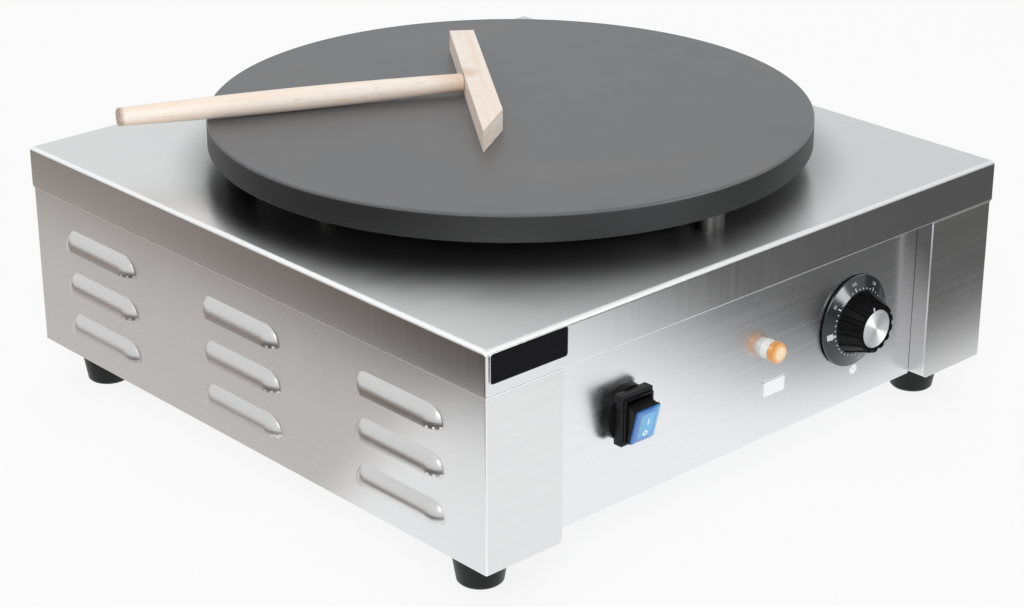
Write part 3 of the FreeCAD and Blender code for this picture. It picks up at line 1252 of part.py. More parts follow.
def spreader():
    """Wooden batter spreader lying on the plate: a mitred bar and its barrelled handle."""
    place_x, skew, rise = S["HandlePlace"], S["HandleSkew"], S["HandleRise"]
    length, width = S["HeadLength"], S["HeadWidth"]
    head = new_body("spreader_head", x=S["SpreaderX"], y=S["SpreaderY"], z=SpreaderBottom,
                    angle=S["SpreaderTurn"])
    outline = new_sketch(head, "XY_Plane")
    polygon(outline, [(0, 0), (S["HeadMitre"], -width), (length, -width), (length, 0)])
    pad(head, outline, S["HeadHeight"])
    mortise = new_sketch(head, "XY_Plane", rise)
    radius = S["TenonRadius"] + S["StudGap"]
    out_x, out_y = -sine(skew), cosine(skew)
    depth, out = S["TenonDepth"] + S["SheetGap"], S["TenonDepth"]

    def along(distance, aside):
        return (place_x + out_x * distance + out_y * aside, out_y * distance - out_x * aside)

    polygon(mortise, [along(-depth, 0), along(out, 0), along(out, radius), along(-depth, radius)])
    bore = feature(head, "Groove", mortise)
    bore.ReferenceAxis = (mortise, ["Axis0"])
    bore.Angle = 360.0
    ends = [V(number_of(x), number_of(y), 0) for x, y in (along(-depth, 0), along(out, 0))]
    axis = mortise.addGeometry(Part.LineSegment(*ends), True)
    pin_point(mortise, axis, 1, *along(-depth, 0))
    pin_point(mortise, axis, 2, *along(out, 0))

    turn = S["SpreaderTurn"]
    handle = new_body("spreader_handle", x=S["SpreaderX"] + place_x * cosine(turn),
                      y=S["SpreaderY"] + place_x * sine(turn), z=SpreaderBottom + rise,
                      angle=turn + 90 + skew)
    end, middle, tip = S["HandleEndRadius"], S["HandleMidRadius"], S["HandleLength"]
    shoulder = end * sine(skew) / cosine(skew) + S["SeatGap"]
    profile = new_sketch(handle, "XY_Plane")
    tenon, inside = S["TenonRadius"], -S["TenonDepth"]
    corners = [(shoulder, end), (shoulder, tenon), (inside, tenon), (inside, 0), (tip, 0),
               (tip, end)]
    spots = [V(number_of(x), number_of(y), 0) for x, y in corners]
    for first, second in zip(spots, spots[1:]):
        profile.addGeometry(Part.LineSegment(first, second))
    bulge = (tip - shoulder) / 2
    crown = V(number_of(shoulder + bulge), middle.number, 0)
    arc = profile.addGeometry(Part.Arc(spots[-1], crown, spots[0]))
    for first in range(4):
        profile.addConstraint(Sketcher.Constraint("Coincident", first, 2, first + 1, 1))
    profile.addConstraint(Sketcher.Constraint("Coincident", arc, 1, 4, 2))
    profile.addConstraint(Sketcher.Constraint("Coincident", arc, 2, 0, 1))
    for line, (x, y) in enumerate(corners[:5]):
        pin_point(profile, line, 1, x, y)
    pin_point(profile, 4, 2, *corners[5])
    sag = middle - end
    curve = (bulge * bulge + sag * sag) / (2 * sag)
    held = profile.addConstraint(Sketcher.Constraint("Radius", arc, curve.number))
    profile.setExpression(f"Constraints[{held}]", curve.text)
    spun = feature(handle, "Revolution", profile)
    spun.ReferenceAxis = (profile, ["H_Axis"])
    spun.Angle = 360.0
    soften(handle, spun, lambda b: flat_at(b.XMin, b.XMax, tip.number) and b.YLength > 1,
           S["HandleRound"])
    return [head, handle]


def check(nodes):
    """Stop with a message if a feature failed or a node isn't what it should be."""
    failed = [o.Name for o in doc.Objects if {"Invalid", "Error"} & set(o.State)]
    if failed:
        raise RuntimeError(f"failed features: {failed}")
    for node in nodes:
        shape = node.Shape
        if shape.isNull() or not shape.isValid() or not shape.Solids:
            raise RuntimeError(f"{node.Label} has no valid solid")


def main():
    left = left_side_panel()
    nodes = [top_pan(), left, right_side_panel(left), front_panel(), rear_panel(), base_plate()]
    nodes += [griddle_plate()] + plate_posts() + [heating_element()] + heater_stack() + sensor()
    nodes += feet() + panel_fasteners() + power_switch() + pilot_lamp() + thermostat()
    nodes += supply() + spreader()
    doc.recompute()
    check(nodes)
    os.makedirs("parts", exist_ok=True)
    for node in nodes:
        node.Shape.exportStep(f"parts/{node.Label}.step")
    print(f"{len(nodes)} nodes written")


main()
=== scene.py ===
"""Looks of the electric crepe maker: finishes, printed scales, plates and the studio round it.

Run as a script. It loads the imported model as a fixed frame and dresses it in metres.
"""

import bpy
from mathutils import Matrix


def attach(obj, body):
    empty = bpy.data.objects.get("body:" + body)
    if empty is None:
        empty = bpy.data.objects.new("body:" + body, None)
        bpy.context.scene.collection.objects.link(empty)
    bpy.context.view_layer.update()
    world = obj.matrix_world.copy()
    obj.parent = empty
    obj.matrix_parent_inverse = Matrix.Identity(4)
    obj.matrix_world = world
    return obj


bl_info = {
    "name": "Crepe maker dressing",
    "version": (1, 0, 0),
    "blender": (4, 5, 0),
    "location": "View3D > Sidebar > Crepe maker",
    "description": "Dresses the packed crepe maker with finishes, scales, plates and a studio",
    "category": "Object",
}

import math

import bpy
import numpy as np
from mathutils import Quaternion, Vector

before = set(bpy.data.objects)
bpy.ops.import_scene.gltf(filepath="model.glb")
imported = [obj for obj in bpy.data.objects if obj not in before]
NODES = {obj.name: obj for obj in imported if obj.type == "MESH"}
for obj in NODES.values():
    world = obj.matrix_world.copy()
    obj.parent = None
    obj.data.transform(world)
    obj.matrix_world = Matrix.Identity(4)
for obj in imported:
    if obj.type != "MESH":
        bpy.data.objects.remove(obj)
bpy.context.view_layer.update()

# Levels of the part, in metres
SKIRT_FACE = -0.229
SKIRT_FOOT = 0.1389
PANEL_FACE = -0.215
SHOULDER = 0.1380
PAN_BEND_FOOT = 0.1640
PLATE_CENTRE = (0.0, -0.002)
PLATE_TOP = 0.2007
DIAL_AXIS = (0.1045, 0.0835)
DIAL_INNER, DIAL_RIM = 0.0215, 0.031
DIAL_STAND, DIAL_FALL = 0.0055, 0.0031
LAMP_AXIS = (0.022, 0.0883)
ROCKER_PIVOT = (-0.1045, -0.2218, 0.0865)
ROCKER_LEAN = math.radians(14.0)
ROCKER_REACH = 0.012
HEAD_CORNER = (-0.0759, -0.0596, 0.2009)
HEAD_TURN = math.radians(54.3)
HANDLE_TURN = math.radians(155.4)
HANDLE_PLACE = 0.120
HANDLE_LENGTH = 0.233
# Half width and half depth inside the outer bends
PAN_INNER = (0.2262, 0.2277)
SIDE_INNER = (0.2257, 0.2272)


# Surfaces worked out as arrays

def rounded_outline(half_x, half_z, corner, arc=6):
    """Rounded rectangle: a quarter circle of the corner radius about each inner corner in turn."""
    swing = np.radians(np.arange(4)[:, None] * 90.0 + np.linspace(0.0, 90.0, arc + 1))
    side = np.array([(1, 1), (-1, 1), (-1, -1), (1, -1)], dtype=float)
    across = side[:, :1] * (half_x - corner) + corner * np.cos(swing)
    upward = side[:, 1:] * (half_z - corner) + corner * np.sin(swing)
    return np.stack([across, upward], axis=-1).reshape(-1, 2)


def stepped_plate(half_x, half_z, corner, steps, arc=6):
    """Low plate: the outline drawn in by each step's inset and raised to the step's height.

    Closed by a point at the middle of its back and one at the middle of its face.
    """
    rings = [np.column_stack([rounded_outline(half_x - inset, half_z - inset,
                                              max(corner - inset, 0.00005), arc),
                              np.full(4 * (arc + 1), height)]) for inset, height in steps]
    foot, top = (0.0, 0.0, steps[0][1]), (0.0, 0.0, steps[-1][1])
    return closed_skin(np.array(rings), foot, top)


def plaque(half_x, half_z, corner, thick, edge, arc=6):
    """Low plate whose edge is a quarter circle: inset e(1 - cos a), height t - e + e sin a."""
    roll = np.radians(np.linspace(0.0, 90.0, 5))
    steps = [(0.0, 0.0)] + list(zip(edge * (1 - np.cos(roll)), thick - edge + edge * np.sin(roll)))
    reach = min(half_x, half_z) - edge
    steps.append((edge + 0.25 * reach, thick))
    return stepped_plate(half_x, half_z, corner, steps, arc)


def hoop(radius, half_wide, thick, around=32, section=8):
    """Flattened ring: radius R + a cos p, height b sin p, carried round by the turn."""
    turn, roll = np.meshgrid(np.linspace(0, 2 * np.pi, around, endpoint=False),
                             np.linspace(0, 2 * np.pi, section, endpoint=False), indexing="ij")
    reach = radius + half_wide * np.cos(roll)
    points = np.stack([reach * np.cos(turn), reach * np.sin(turn), thick * np.sin(roll)], axis=-1)
    return closed_band(points)


def flared_band(radius, half_x, half_z, corner, low, high):
    """Wall from a round foot to a rounded rectangle: (1 - s) circle + s outline, s = t(2 - t).

    Its inner side is the same shape at 0.94 of the size.
    """
    outline = rounded_outline(half_x, half_z, corner)
    circle = radius * outline / np.linalg.norm(outline, axis=1, keepdims=True)
    rise = np.linspace(0.0, 1.0, 7)
    blend = (rise * (2.0 - rise))[:, None, None]
    outer = (1.0 - blend) * circle + blend * outline
    height = np.broadcast_to((low + (high - low) * rise)[:, None, None], (*outer.shape[:2], 1))
    outer = np.concatenate([outer, height], axis=-1)
    inner = outer[::-1] * [0.94, 0.94, 1.0]
    return closed_band(np.concatenate([outer, inner]).transpose(1, 0, 2))


def closed_band(grid):
    """Quads over a grid of points that closes on itself both ways."""
    ids = np.arange(grid.shape[0] * grid.shape[1]).reshape(grid.shape[:2])
    ahead, above = np.roll(ids, -1, axis=0), np.roll(ids, -1, axis=1)
    both = np.roll(ahead, -1, axis=1)
    quads = np.stack([ids, ahead, both, above], axis=-1).reshape(-1, 4)
    return grid.reshape(-1, 3), quads, np.empty((0, 3), dtype=int)


def closed_skin(rings, foot, top):
    """Quads between neighbouring rings and a fan from each end ring to its point."""
    count, around = rings.shape[:2]
    points = np.concatenate([rings.reshape(-1, 3), [foot, top]])
    ids = np.arange(count * around).reshape(count, around)
    after = np.roll(ids, -1, axis=1)
    quads = np.stack([ids[:-1], after[:-1], after[1:], ids[1:]], axis=-1).reshape(-1, 4)
    last = np.full(around, count * around)
    fans = np.concatenate([np.stack([after[0], ids[0], last], axis=-1),
                           np.stack([ids[-1], after[-1], last + 1], axis=-1)])
    return points, quads, fans


def on_face(shape, origin, right=(1, 0, 0), up=(0, 0, 1), out=(0, -1, 0)):
    """Shape moved to a face: origin plus its three measures along right, up and out."""
    points, quads, fans = shape
    return np.asarray(origin) + points @ np.array([right, up, out], dtype=float), quads, fans


def on_dial(shape, angle, radius):
    """Shape bent round the dial: its width turns with the radius, its height runs to the rim.

    The dial's face falls in a straight line from its inner edge to its rim.
    """
    points, quads, fans = shape
    reach = radius + points[:, 1]
    turn = math.radians(angle) - points[:, 0] / reach
    fall = DIAL_FALL * (reach - DIAL_INNER) / (DIAL_RIM - DIAL_INNER)
    stand = DIAL_STAND - fall + points[:, 2]
    return np.column_stack([DIAL_AXIS[0] + reach * np.cos(turn), PANEL_FACE - stand,
                            DIAL_AXIS[1] + reach * np.sin(turn)]), quads, fans


def numerals(text, size, thick):
    """A plain number as triangles, centred on its own middle."""
    curve = bpy.data.curves.new("numerals", "FONT")
    curve.body, curve.size, curve.extrude, curve.resolution_u = text, size, thick / 2, 3
    curve.align_x = "CENTER"
    drawn = bpy.data.objects.new("numerals", curve)
    mesh = bpy.data.meshes.new_from_object(drawn)
    mesh.calc_loop_triangles()
    points = np.empty(len(mesh.vertices) * 3)
    mesh.vertices.foreach_get("co", points)
    corners = np.empty(len(mesh.loop_triangles) * 3, dtype=np.int32)
    mesh.loop_triangles.foreach_get("vertices", corners)
    bpy.data.objects.remove(drawn)
    bpy.data.curves.remove(curve)
    bpy.data.meshes.remove(mesh)
    points = points.reshape(-1, 3)
    points = points - [0.0, (points[:, 1].min() + points[:, 1].max()) / 2, -thick / 2]
    return points, np.empty((0, 4), dtype=int), corners.reshape(-1, 3)


def piece(name, shapes, material, body, smooth=True):
    """One object from one or more shapes, riding on a body of the frame."""
    starts = np.cumsum([0] + [len(shape[0]) for shape in shapes])
    points = np.concatenate([shape[0] for shape in shapes])
    quads = np.concatenate([shape[1] + start for shape, start in zip(shapes, starts)])
    fans = np.concatenate([shape[2] + start for shape, start in zip(shapes, starts)])
    mesh = bpy.data.meshes.new(name)
    mesh.from_pydata(points.tolist(), [], quads.tolist() + fans.tolist())
    mesh.polygons.foreach_set("use_smooth", np.full(len(mesh.polygons), smooth))
    mesh.update()
    mesh.materials.append(material)
    made = bpy.data.objects.new(name, mesh)
    bpy.context.scene.collection.objects.link(made)
    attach(made, body)
    return made


# Finishes

def sum_of(kind):
    """Method of a finish that gives one kind of sum of two values."""
    return lambda self, first, second: self.math(kind, first, second)


class Finish:
    """One node material, built by adding nodes and joining their sockets."""
    times, plus, less = sum_of("MULTIPLY"), sum_of("ADD"), sum_of("SUBTRACT")
    most, over, under = sum_of("MAXIMUM"), sum_of("GREATER_THAN"), sum_of("LESS_THAN")

    def __init__(self, name, colour=(0.8, 0.8, 0.8), roughness=0.5, metallic=0.0, **sockets):
        self.material = bpy.data.materials.new(name)
        self.material.use_nodes = True
        self.tree = self.material.node_tree
        self.surface = self.tree.nodes["Principled BSDF"]
        self.surface.inputs["Base Color"].default_value = (*colour[:3], 1.0)
        self.surface.inputs["Roughness"].default_value = roughness
        self.surface.inputs["Metallic"].default_value = metallic
        for label, value in sockets.items():
            self.surface.inputs[label.replace("_", " ")].default_value = value

    def add(self, kind, settings=(), **inputs):
        """Add a node; an input is a number, a colour or another node's output.

        An input is named by its label, or by an underscore and its number.
        """
        node = self.tree.nodes.new("ShaderNode" + kind)
        for label, value in dict(settings).items():
            setattr(node, label, value)
        for label, value in inputs.items():
            socket = node.inputs[int(label[1:])] if label[1:].isdigit() else \
                node.inputs[label.replace("_", " ")]
            if isinstance(value, bpy.types.NodeSocket):
                self.tree.links.new(value, socket)
            else:
                socket.default_value = value
        return node.outputs[0]

    def place(self, scale=(1, 1, 1), turn=(0, 0, 0), centre=(0, 0, 0)):
        """Object coordinates taken from a centre, turned and scaled."""
        self.add("TexCoord")
        point = self.tree.nodes[-1].outputs["Object"]
        moved = self.add("Mapping", {"vector_type": "TEXTURE"}, Vector=point, Location=centre,
                         Rotation=turn)
        return self.add("Mapping", Vector=moved, Scale=scale)

    def axis(self, where, index):
        """One measure of a place."""
        self.add("SeparateXYZ", Vector=where)
        return self.tree.nodes[-1].outputs[index]

    def size(self, where, index):
        """One measure of a place without its sign."""
        return self.math("ABSOLUTE", self.axis(where, index))

    def length(self, where):
        self.add("VectorMath", {"operation": "LENGTH"}, _0=where)
        return self.tree.nodes[-1].outputs["Value"]

    def noise(self, scale, where, detail=3.0, rough=0.5):
        return self.add("TexNoise", Vector=where, Scale=scale, Detail=detail, Roughness=rough)

    def cells(self, scale, where):
        """Grey of the nearest of many scattered cells."""
        self.add("TexVoronoi", Vector=where, Scale=scale)
        return self.add("RGBToBW", Color=self.tree.nodes[-1].outputs["Color"])

    def ramp(self, value, low, high, out_low=0.0, out_high=1.0, soft=False):
        """Map of a value, straight or softened at its ends, held beyond them."""
        return self.add("MapRange", {"clamp": True, "interpolation_type":
                                     "SMOOTHSTEP" if soft else "LINEAR"},
                        Value=value, From_Min=low, From_Max=high, To_Min=out_low, To_Max=out_high)

    def math(self, kind, first, second=0.0):
        """One sum of one or two values."""
        return self.add("Math", {"operation": kind}, _0=first, _1=second)

    def mix(self, share, first, second):
        node = self.tree.nodes.new("ShaderNodeMix")
        node.data_type = "RGBA"
        for index, value in ((0, share), (6, first), (7, second)):
            if isinstance(value, bpy.types.NodeSocket):
                self.tree.links.new(value, node.inputs[index])
            elif index:
                node.inputs[index].default_value = (*value[:3], 1.0)
            else:
                node.inputs[index].default_value = value
        return node.outputs[2]

    def bump(self, height, strength, distance):
        self.link("Normal", self.add("Bump", Height=height, Strength=strength, Distance=distance))

    def link(self, label, output):
        self.tree.links.new(output, self.surface.inputs[label])

    def wear(self, share, first, second, source, smooth, rough, low=0.3, high=0.7):
        """Colour mixed by a share, and roughness that follows a source."""
        self.link("Base Color", self.mix(share, first, second))
        self.link("Roughness", self.ramp(source, low, high, smooth, rough))


def shade(colour, share):
    """Colour made darker or lighter by a share."""
    return tuple(min(1.0, c * share) for c in colour[:3])


def rolled(name, colour, roughness, scale, across, stretch, marks=None):
    """Brushed sheet: fine lines where the scale is low, broader bands and faint handling marks.

    marks is a function of the finish and its lines' two places. It gives them back, changed at
    the folds, then the shares of the sheet that take a painted highlight and a painted shade, and
    the share of roughness left.
    """
    steel = Finish(name, colour, roughness, 1.0, Anisotropic=stretch)
    steel.link("Tangent", steel.add("CombineXYZ", X=across[0], Y=across[1], Z=across[2]))
    fine_at = steel.place(scale)
    broad_at = steel.place(tuple(s * 0.14 for s in scale))
    painted_highlight, painted_shade, left = 0.0, 0.0, 1.0
    if marks:
        fine_at, broad_at, painted_highlight, painted_shade, left = marks(steel, fine_at, broad_at)
    fine = steel.noise(1.0, fine_at, detail=3.0, rough=0.62)
    broad = steel.noise(1.0, broad_at, detail=2.0)
    lines = steel.plus(steel.times(fine, 0.62),
                       steel.times(broad, 0.38))
    smear = steel.noise(11.0, steel.place(), detail=4.0, rough=0.6)
    handled = steel.ramp(steel.noise(46.0, steel.place(), detail=5.0, rough=0.7), 0.62, 0.74)
    sheet = steel.mix(steel.ramp(lines, 0.32, 0.68), shade(colour, 0.97), shade(colour, 1.03))
    # Painted highlights lift the colour, and painted shade takes it nearly to black.
    sheet = steel.mix(painted_highlight, sheet, shade(colour, 1.32))
    steel.link("Base Color", steel.mix(painted_shade, sheet, shade(colour, 0.05)))
    rough = steel.plus(steel.ramp(lines, 0.3, 0.7, roughness - 0.03, roughness + 0.03),
                       steel.ramp(smear, 0.35, 0.65, -0.015, 0.02))
    rough = steel.plus(rough, steel.times(handled, 0.025))
    rough = steel.times(rough, left)
    steel.link("Roughness", steel.mix(painted_highlight, rough, (0.42, 0.42, 0.42)))
    steel.bump(fine, 0.02, 0.0001)
    return steel.material


def pan_marks(steel, fine_at, broad_at):
    """Pan: lines across its folded skirt, painted highlights at its bends, corners and lower edge,
    and painted shade round the plate.

    The skirt is smoother than the deck. The painted shade stands for the plate's shade and its
    dark reflection, and fades outwards from the plate's rim.
    """
    where = steel.place()
    aside, ahead, high = steel.size(where, 0), steel.size(where, 1), steel.axis(where, 2)
    edge = steel.over(aside, PAN_INNER[0])
    face = steel.over(ahead, PAN_INNER[1])
    for share, fine, broad in ((edge, (6.0, 2400.0, 6.0), (1.0, 330.0, 1.0)),
                               (face, (2400.0, 6.0, 6.0), (330.0, 1.0, 1.0))):
        fine_at = steel.mix(share, fine_at, steel.place(fine))
        broad_at = steel.mix(share, broad_at, steel.place(broad))
    # Painted highlights: the bends, the corners and the skirt's lower edge are lifted in colour.
    bend = steel.most(*(steel.ramp(value, inner - 0.0012, inner - 0.0004)
                        for value, inner in zip((aside, ahead), PAN_INNER)))
    corner = steel.times(*(steel.over(value, inner + 0.0005)
                           for value, inner in zip((aside, ahead), PAN_INNER)))
    upright = steel.most(edge, face)
    rim = steel.times(upright, steel.under(high, SKIRT_FOOT + 0.0006))
    above = steel.times(bend, steel.ramp(high, PAN_BEND_FOOT, PAN_BEND_FOOT + 0.0008))
    painted_highlight = steel.most(above, steel.most(corner, rim))
    # Painted shade under the plate, fading out past its rim, where it stands for the plate's dark
    # reflection.
    reach = steel.length(steel.place((1.0, 1.0, 0.0), centre=(*PLATE_CENTRE, 0.0)))
    stain_and_painted_shade = steel.ramp(reach, 0.190, 0.232, 0.55, 0.0, soft=True)
    return fine_at, broad_at, painted_highlight, stain_and_painted_shade, steel.ramp(upright, 0.0, 1.0, 1.0, 0.70)


def side_marks(steel, fine_at, broad_at):
    """Side panel: painted highlights on its upright corners and top edge, and painted shade on the
    step above it and on a return.

    The return is the wall of the front recess, and its painted shade is darker higher up.
    """
    where = steel.place()
    aside, ahead, high = steel.size(where, 0), steel.size(where, 1), steel.axis(where, 2)
    corner = steel.times(*(steel.over(value, inner)
                           for value, inner in zip((aside, ahead), SIDE_INNER)))
    wall = steel.times(steel.under(ahead, SIDE_INNER[1] - 0.0005),
                       steel.over(ahead, SIDE_INNER[1] - 0.0125))
    wall = steel.times(wall, steel.under(aside, SIDE_INNER[0] - 0.01))
    # Painted shade above the shoulder and on the recess wall, darker higher up.
    painted_shade = steel.most(steel.over(high, SHOULDER),
                        steel.times(wall, steel.ramp(high, 0.03, 0.12, 0.1, 0.85)))
    # Painted highlights along the top edge and up the corners.
    painted_highlight = steel.most(steel.over(high, SHOULDER - 0.0007), corner)
    return fine_at, broad_at, painted_highlight, painted_shade, 1.0


def turned_metal(name, colour, roughness, centre, axis, stretch=0.6):
    """Metal faced on a lathe: rings about an axis that stretch highlights outwards."""
    metal = Finish(name, colour, roughness, 1.0, Anisotropic=stretch)
    flat = [1.0, 1.0, 1.0]
    flat[axis] = 0.0
    out = metal.place(tuple(flat), centre=centre)
    reach = metal.length(out)
    metal.add("VectorTransform", {"vector_type": "VECTOR", "convert_from": "OBJECT",
                                  "convert_to": "WORLD"}, Vector=out)
    metal.link("Tangent", metal.tree.nodes[-1].outputs[0])
    rings = metal.noise(1.0, metal.add("CombineXYZ", X=metal.times(reach, 9000.0)),
                        detail=2.0)
    patch = metal.noise(140.0, metal.place(), detail=2.0)
    metal.link("Base Color", metal.mix(metal.ramp(rings, 0.3, 0.7), shade(colour, 0.93),
                                       shade(colour, 1.05)))
    metal.link("Roughness", metal.plus(metal.ramp(rings, 0.3, 0.7, roughness - 0.03,
                                                  roughness + 0.03),
                                       metal.ramp(patch, 0.3, 0.7, -0.02, 0.02)))
    metal.bump(rings, 0.06, 0.00005)
    return metal.material


def ringed(name, colour, roughness):
    """Turned upright post: fine rings stacked up its height."""
    metal = Finish(name, colour, roughness, 1.0, Anisotropic=0.4)
    metal.link("Tangent", metal.add("CombineXYZ", X=0.0, Y=0.0, Z=1.0))
    rings = metal.noise(1.0, metal.place((40.0, 40.0, 3800.0)), detail=3.0)
    stain_and_painted_shade = metal.noise(90.0, metal.place(), detail=3.0)
    metal.wear(rings, shade(colour, 0.9), shade(colour, 1.06), stain_and_painted_shade, roughness - 0.04,
               roughness + 0.06)
    metal.bump(rings, 0.08, 0.00006)
    return metal.material


def plated(name, colour, tint, roughness):
    """Zinc plating: a cool and a straw tint in patches, and fine crystal speckle."""
    metal = Finish(name, colour, roughness, 1.0)
    patch = metal.noise(120.0, metal.place(), detail=3.0)
    speck = metal.cells(2600.0, metal.place())
    base = metal.mix(metal.ramp(patch, 0.35, 0.65), colour, tint)
    metal.wear(metal.times(speck, 0.25), base, shade(colour, 0.72), speck,
               roughness - 0.05, roughness + 0.08, 0.0, 1.0)
    metal.bump(speck, 0.05, 0.00005)
    return metal.material


def spangled(name, colour, roughness):
    """Galvanised sheet: flat crystals a few millimetres wide, each its own grey."""
    metal = Finish(name, colour, roughness, 1.0)
    warp = metal.noise(60.0, metal.place(), detail=2.0)
    crystal = metal.cells(190.0, metal.place())
    tone = metal.plus(metal.times(crystal, 0.8),
                      metal.times(warp, 0.2))
    metal.wear(tone, shade(colour, 0.82), shade(colour, 1.08), tone, roughness - 0.08,
               roughness + 0.10, 0.2, 0.9)
    metal.bump(tone, 0.04, 0.0001)
    return metal.material


def moulded(name, colour, roughness, grain=1500.0, coat=0.0, bump=0.05, dust=0.03,
            gloss=0.5):
    """Moulded plastic or rubber: a fine skin, a slow change of gloss and a little pale dust."""
    plastic = Finish(name, colour, roughness, Coat_Weight=coat, Coat_Roughness=0.06,
                     Specular_IOR_Level=gloss)
    skin = plastic.noise(grain, plastic.place(), detail=2.0)
    slow = plastic.noise(70.0, plastic.place(), detail=3.0)
    specks = plastic.ramp(plastic.noise(900.0, plastic.place(), detail=1.0), 0.70, 0.78)
    body = plastic.mix(slow, shade(colour, 0.92), shade(colour, 1.08))
    plastic.wear(plastic.times(specks, dust), body, (0.6, 0.58, 0.55), slow,
                 roughness * 0.88, roughness * 1.12)
    plastic.bump(skin, bump, 0.0001)
    return plastic.material


def printed(name, colour, roughness=0.4):
    """Printing ink or enamel: faint unevenness of tone and a very slight tooth."""
    ink = Finish(name, colour, roughness)
    cover = ink.noise(2400.0, ink.place(), detail=2.0)
    ink.wear(cover, shade(colour, 0.93), shade(colour, 1.03), cover, roughness - 0.06,
             roughness + 0.06)
    ink.bump(cover, 0.04, 0.00003)
    return ink.material


def dress(material, *names):
    """Give nodes of the frame a material in place of their own."""
    for name in names:
        node = NODES[name]
        node.data.materials.clear()
        node.data.materials.append(material)


# Studio

def camera(scene):
    """Camera solved from the photograph's edges; its place and turn are in the part's frame."""
    data = bpy.data.cameras.new("photo_camera")
    data.sensor_width = 36.0
    data.lens = 86.16
    data.clip_start, data.clip_end = 0.05, 50.0
    eye = bpy.data.objects.new("photo_camera", data)
    azimuth, elevation = math.radians(-42.619), math.radians(23.206)
    back = Vector((math.sin(azimuth) * math.cos(elevation),
                   -math.cos(azimuth) * math.cos(elevation), math.sin(elevation)))
    eye.location = Vector((-0.025826, -0.031496, 0.074962)) + back * 1.633425
    eye.rotation_mode = "QUATERNION"
    eye.rotation_quaternion = ((-back).to_track_quat("-Z", "Y")
                               @ Quaternion((0, 0, 1), math.radians(-0.05)))
    scene.collection.objects.link(eye)
    scene.camera = eye


def lamp(name, at, towards, width, height, power, colour=(1, 1, 1)):
    data = bpy.data.lights.new(name, "AREA")
    data.shape = "RECTANGLE"
    data.size, data.size_y = width, height
    data.energy = power
    data.color = colour
    made = bpy.data.objects.new(name, data)
    made.location = at
    made.rotation_mode = "QUATERNION"
    made.rotation_quaternion = (Vector(towards) - Vector(at)).to_track_quat("-Z", "Y")
    made.visible_camera = False
    bpy.context.scene.collection.objects.link(made)


def studio_world(scene, values):
    """White for the camera, a cool white in reflections, and a plain level of light."""
    world = bpy.data.worlds.new("studio_air")
    scene.world = world
    world.use_nodes = True
    tree = world.node_tree
    tree.nodes.clear()
    path = tree.nodes.new("ShaderNodeLightPath")
    either = tree.nodes.new("ShaderNodeMath")
    either.operation = "MAXIMUM"
    tree.links.new(path.outputs["Is Camera Ray"], either.inputs[0])
    tree.links.new(path.outputs["Is Transmission Ray"], either.inputs[1])
    levels = []
    white, cool = (1.0, 1.0, 1.0, 1.0), (0.97, 0.985, 1.0, 1.0)
    for colour, strength in ((white, values.ambient), (white, 1.0), (cool, values.mirrored)):
        plain = tree.nodes.new("ShaderNodeBackground")
        plain.inputs["Color"].default_value = colour
        plain.inputs["Strength"].default_value = strength
        levels.append(plain.outputs[0])
    first = tree.nodes.new("ShaderNodeMixShader")
    tree.links.new(path.outputs["Is Glossy Ray"], first.inputs[0])
    tree.links.new(levels[0], first.inputs[1])
    tree.links.new(levels[2], first.inputs[2])
    second = tree.nodes.new("ShaderNodeMixShader")
    tree.links.new(either.outputs[0], second.inputs[0])
    tree.links.new(first.outputs[0], second.inputs[1])
    tree.links.new(levels[1], second.inputs[2])
    out = tree.nodes.new("ShaderNodeOutputWorld")
    tree.links.new(second.outputs[0], out.inputs["Surface"])


def studio_floor(values):
    """Pale table: nearly white to the camera with a soft shadow. In reflections it glows instead,
    a painted
    reflection: white near the part, dimmer beside it, and dark to the far left and at the front
    right.
    """
    half = 6.0
    mesh = bpy.data.meshes.new("studio_floor")
    mesh.from_pydata([(-half, -half, 0), (half, -half, 0), (half, half, 0), (-half, half, 0)],
                     [], [(0, 1, 2, 3)])
    floor = bpy.data.objects.new("studio_floor", mesh)
    bpy.context.scene.collection.objects.link(floor)
    paper = Finish("studio_paper", values.floor_colour, 0.9, Specular_IOR_Level=0.0)
    fibre = paper.noise(900.0, paper.place(), detail=2.0)
    paper.link("Base Color", paper.mix(fibre, shade(values.floor_colour, 0.99),
                                       shade(values.floor_colour, 1.01)))
    paper.add("LightPath")
    path = paper.tree.nodes[-1]
    where = paper.place()
    across, ahead = paper.axis(where, 0), paper.times(paper.axis(where, 1), -1.0)
    left = paper.ramp(across, -0.430, -0.405, 0.0, 1.0, soft=True)
    slant = paper.less(ahead, paper.times(paper.plus(across, 0.33),
                                          0.5))
    beside = paper.times(paper.ramp(across, -0.20, -0.26, soft=True),
                         paper.ramp(slant, 0.05, -0.01, soft=True))
    near = paper.mix(beside, (1.12, 1.14, 1.17), (0.70, 0.685, 0.67))
    front = paper.times(paper.ramp(across, 0.04, 0.24, soft=True),
                        paper.ramp(ahead, 0.23, 0.34, soft=True))
    far_left = paper.mix(paper.ramp(ahead, -0.45, 0.0), (0.30, 0.255, 0.23), (0.040, 0.027, 0.021))
    seen = paper.mix(front, paper.mix(left, far_left, near), (0.11, 0.11, 0.11))
    # Painted reflection: glossy rays see this glow in place of the lit paper.
    glow = paper.add("Emission", Color=seen, Strength=1.0)
    white = paper.add("Emission", Color=(1, 1, 1, 1), Strength=1.0)
    to_eye = paper.times(paper.most(path.outputs["Is Camera Ray"],
                                    path.outputs["Is Transmission Ray"]), 0.86)
    first = paper.add("MixShader", _0=to_eye, _1=paper.surface.outputs[0], _2=white)
    second = paper.add("MixShader", _0=path.outputs["Is Glossy Ray"], _1=first, _2=glow)
    paper.tree.links.new(second, paper.tree.nodes["Material Output"].inputs["Surface"])
    floor.data.materials.append(paper.material)


# What a user can change

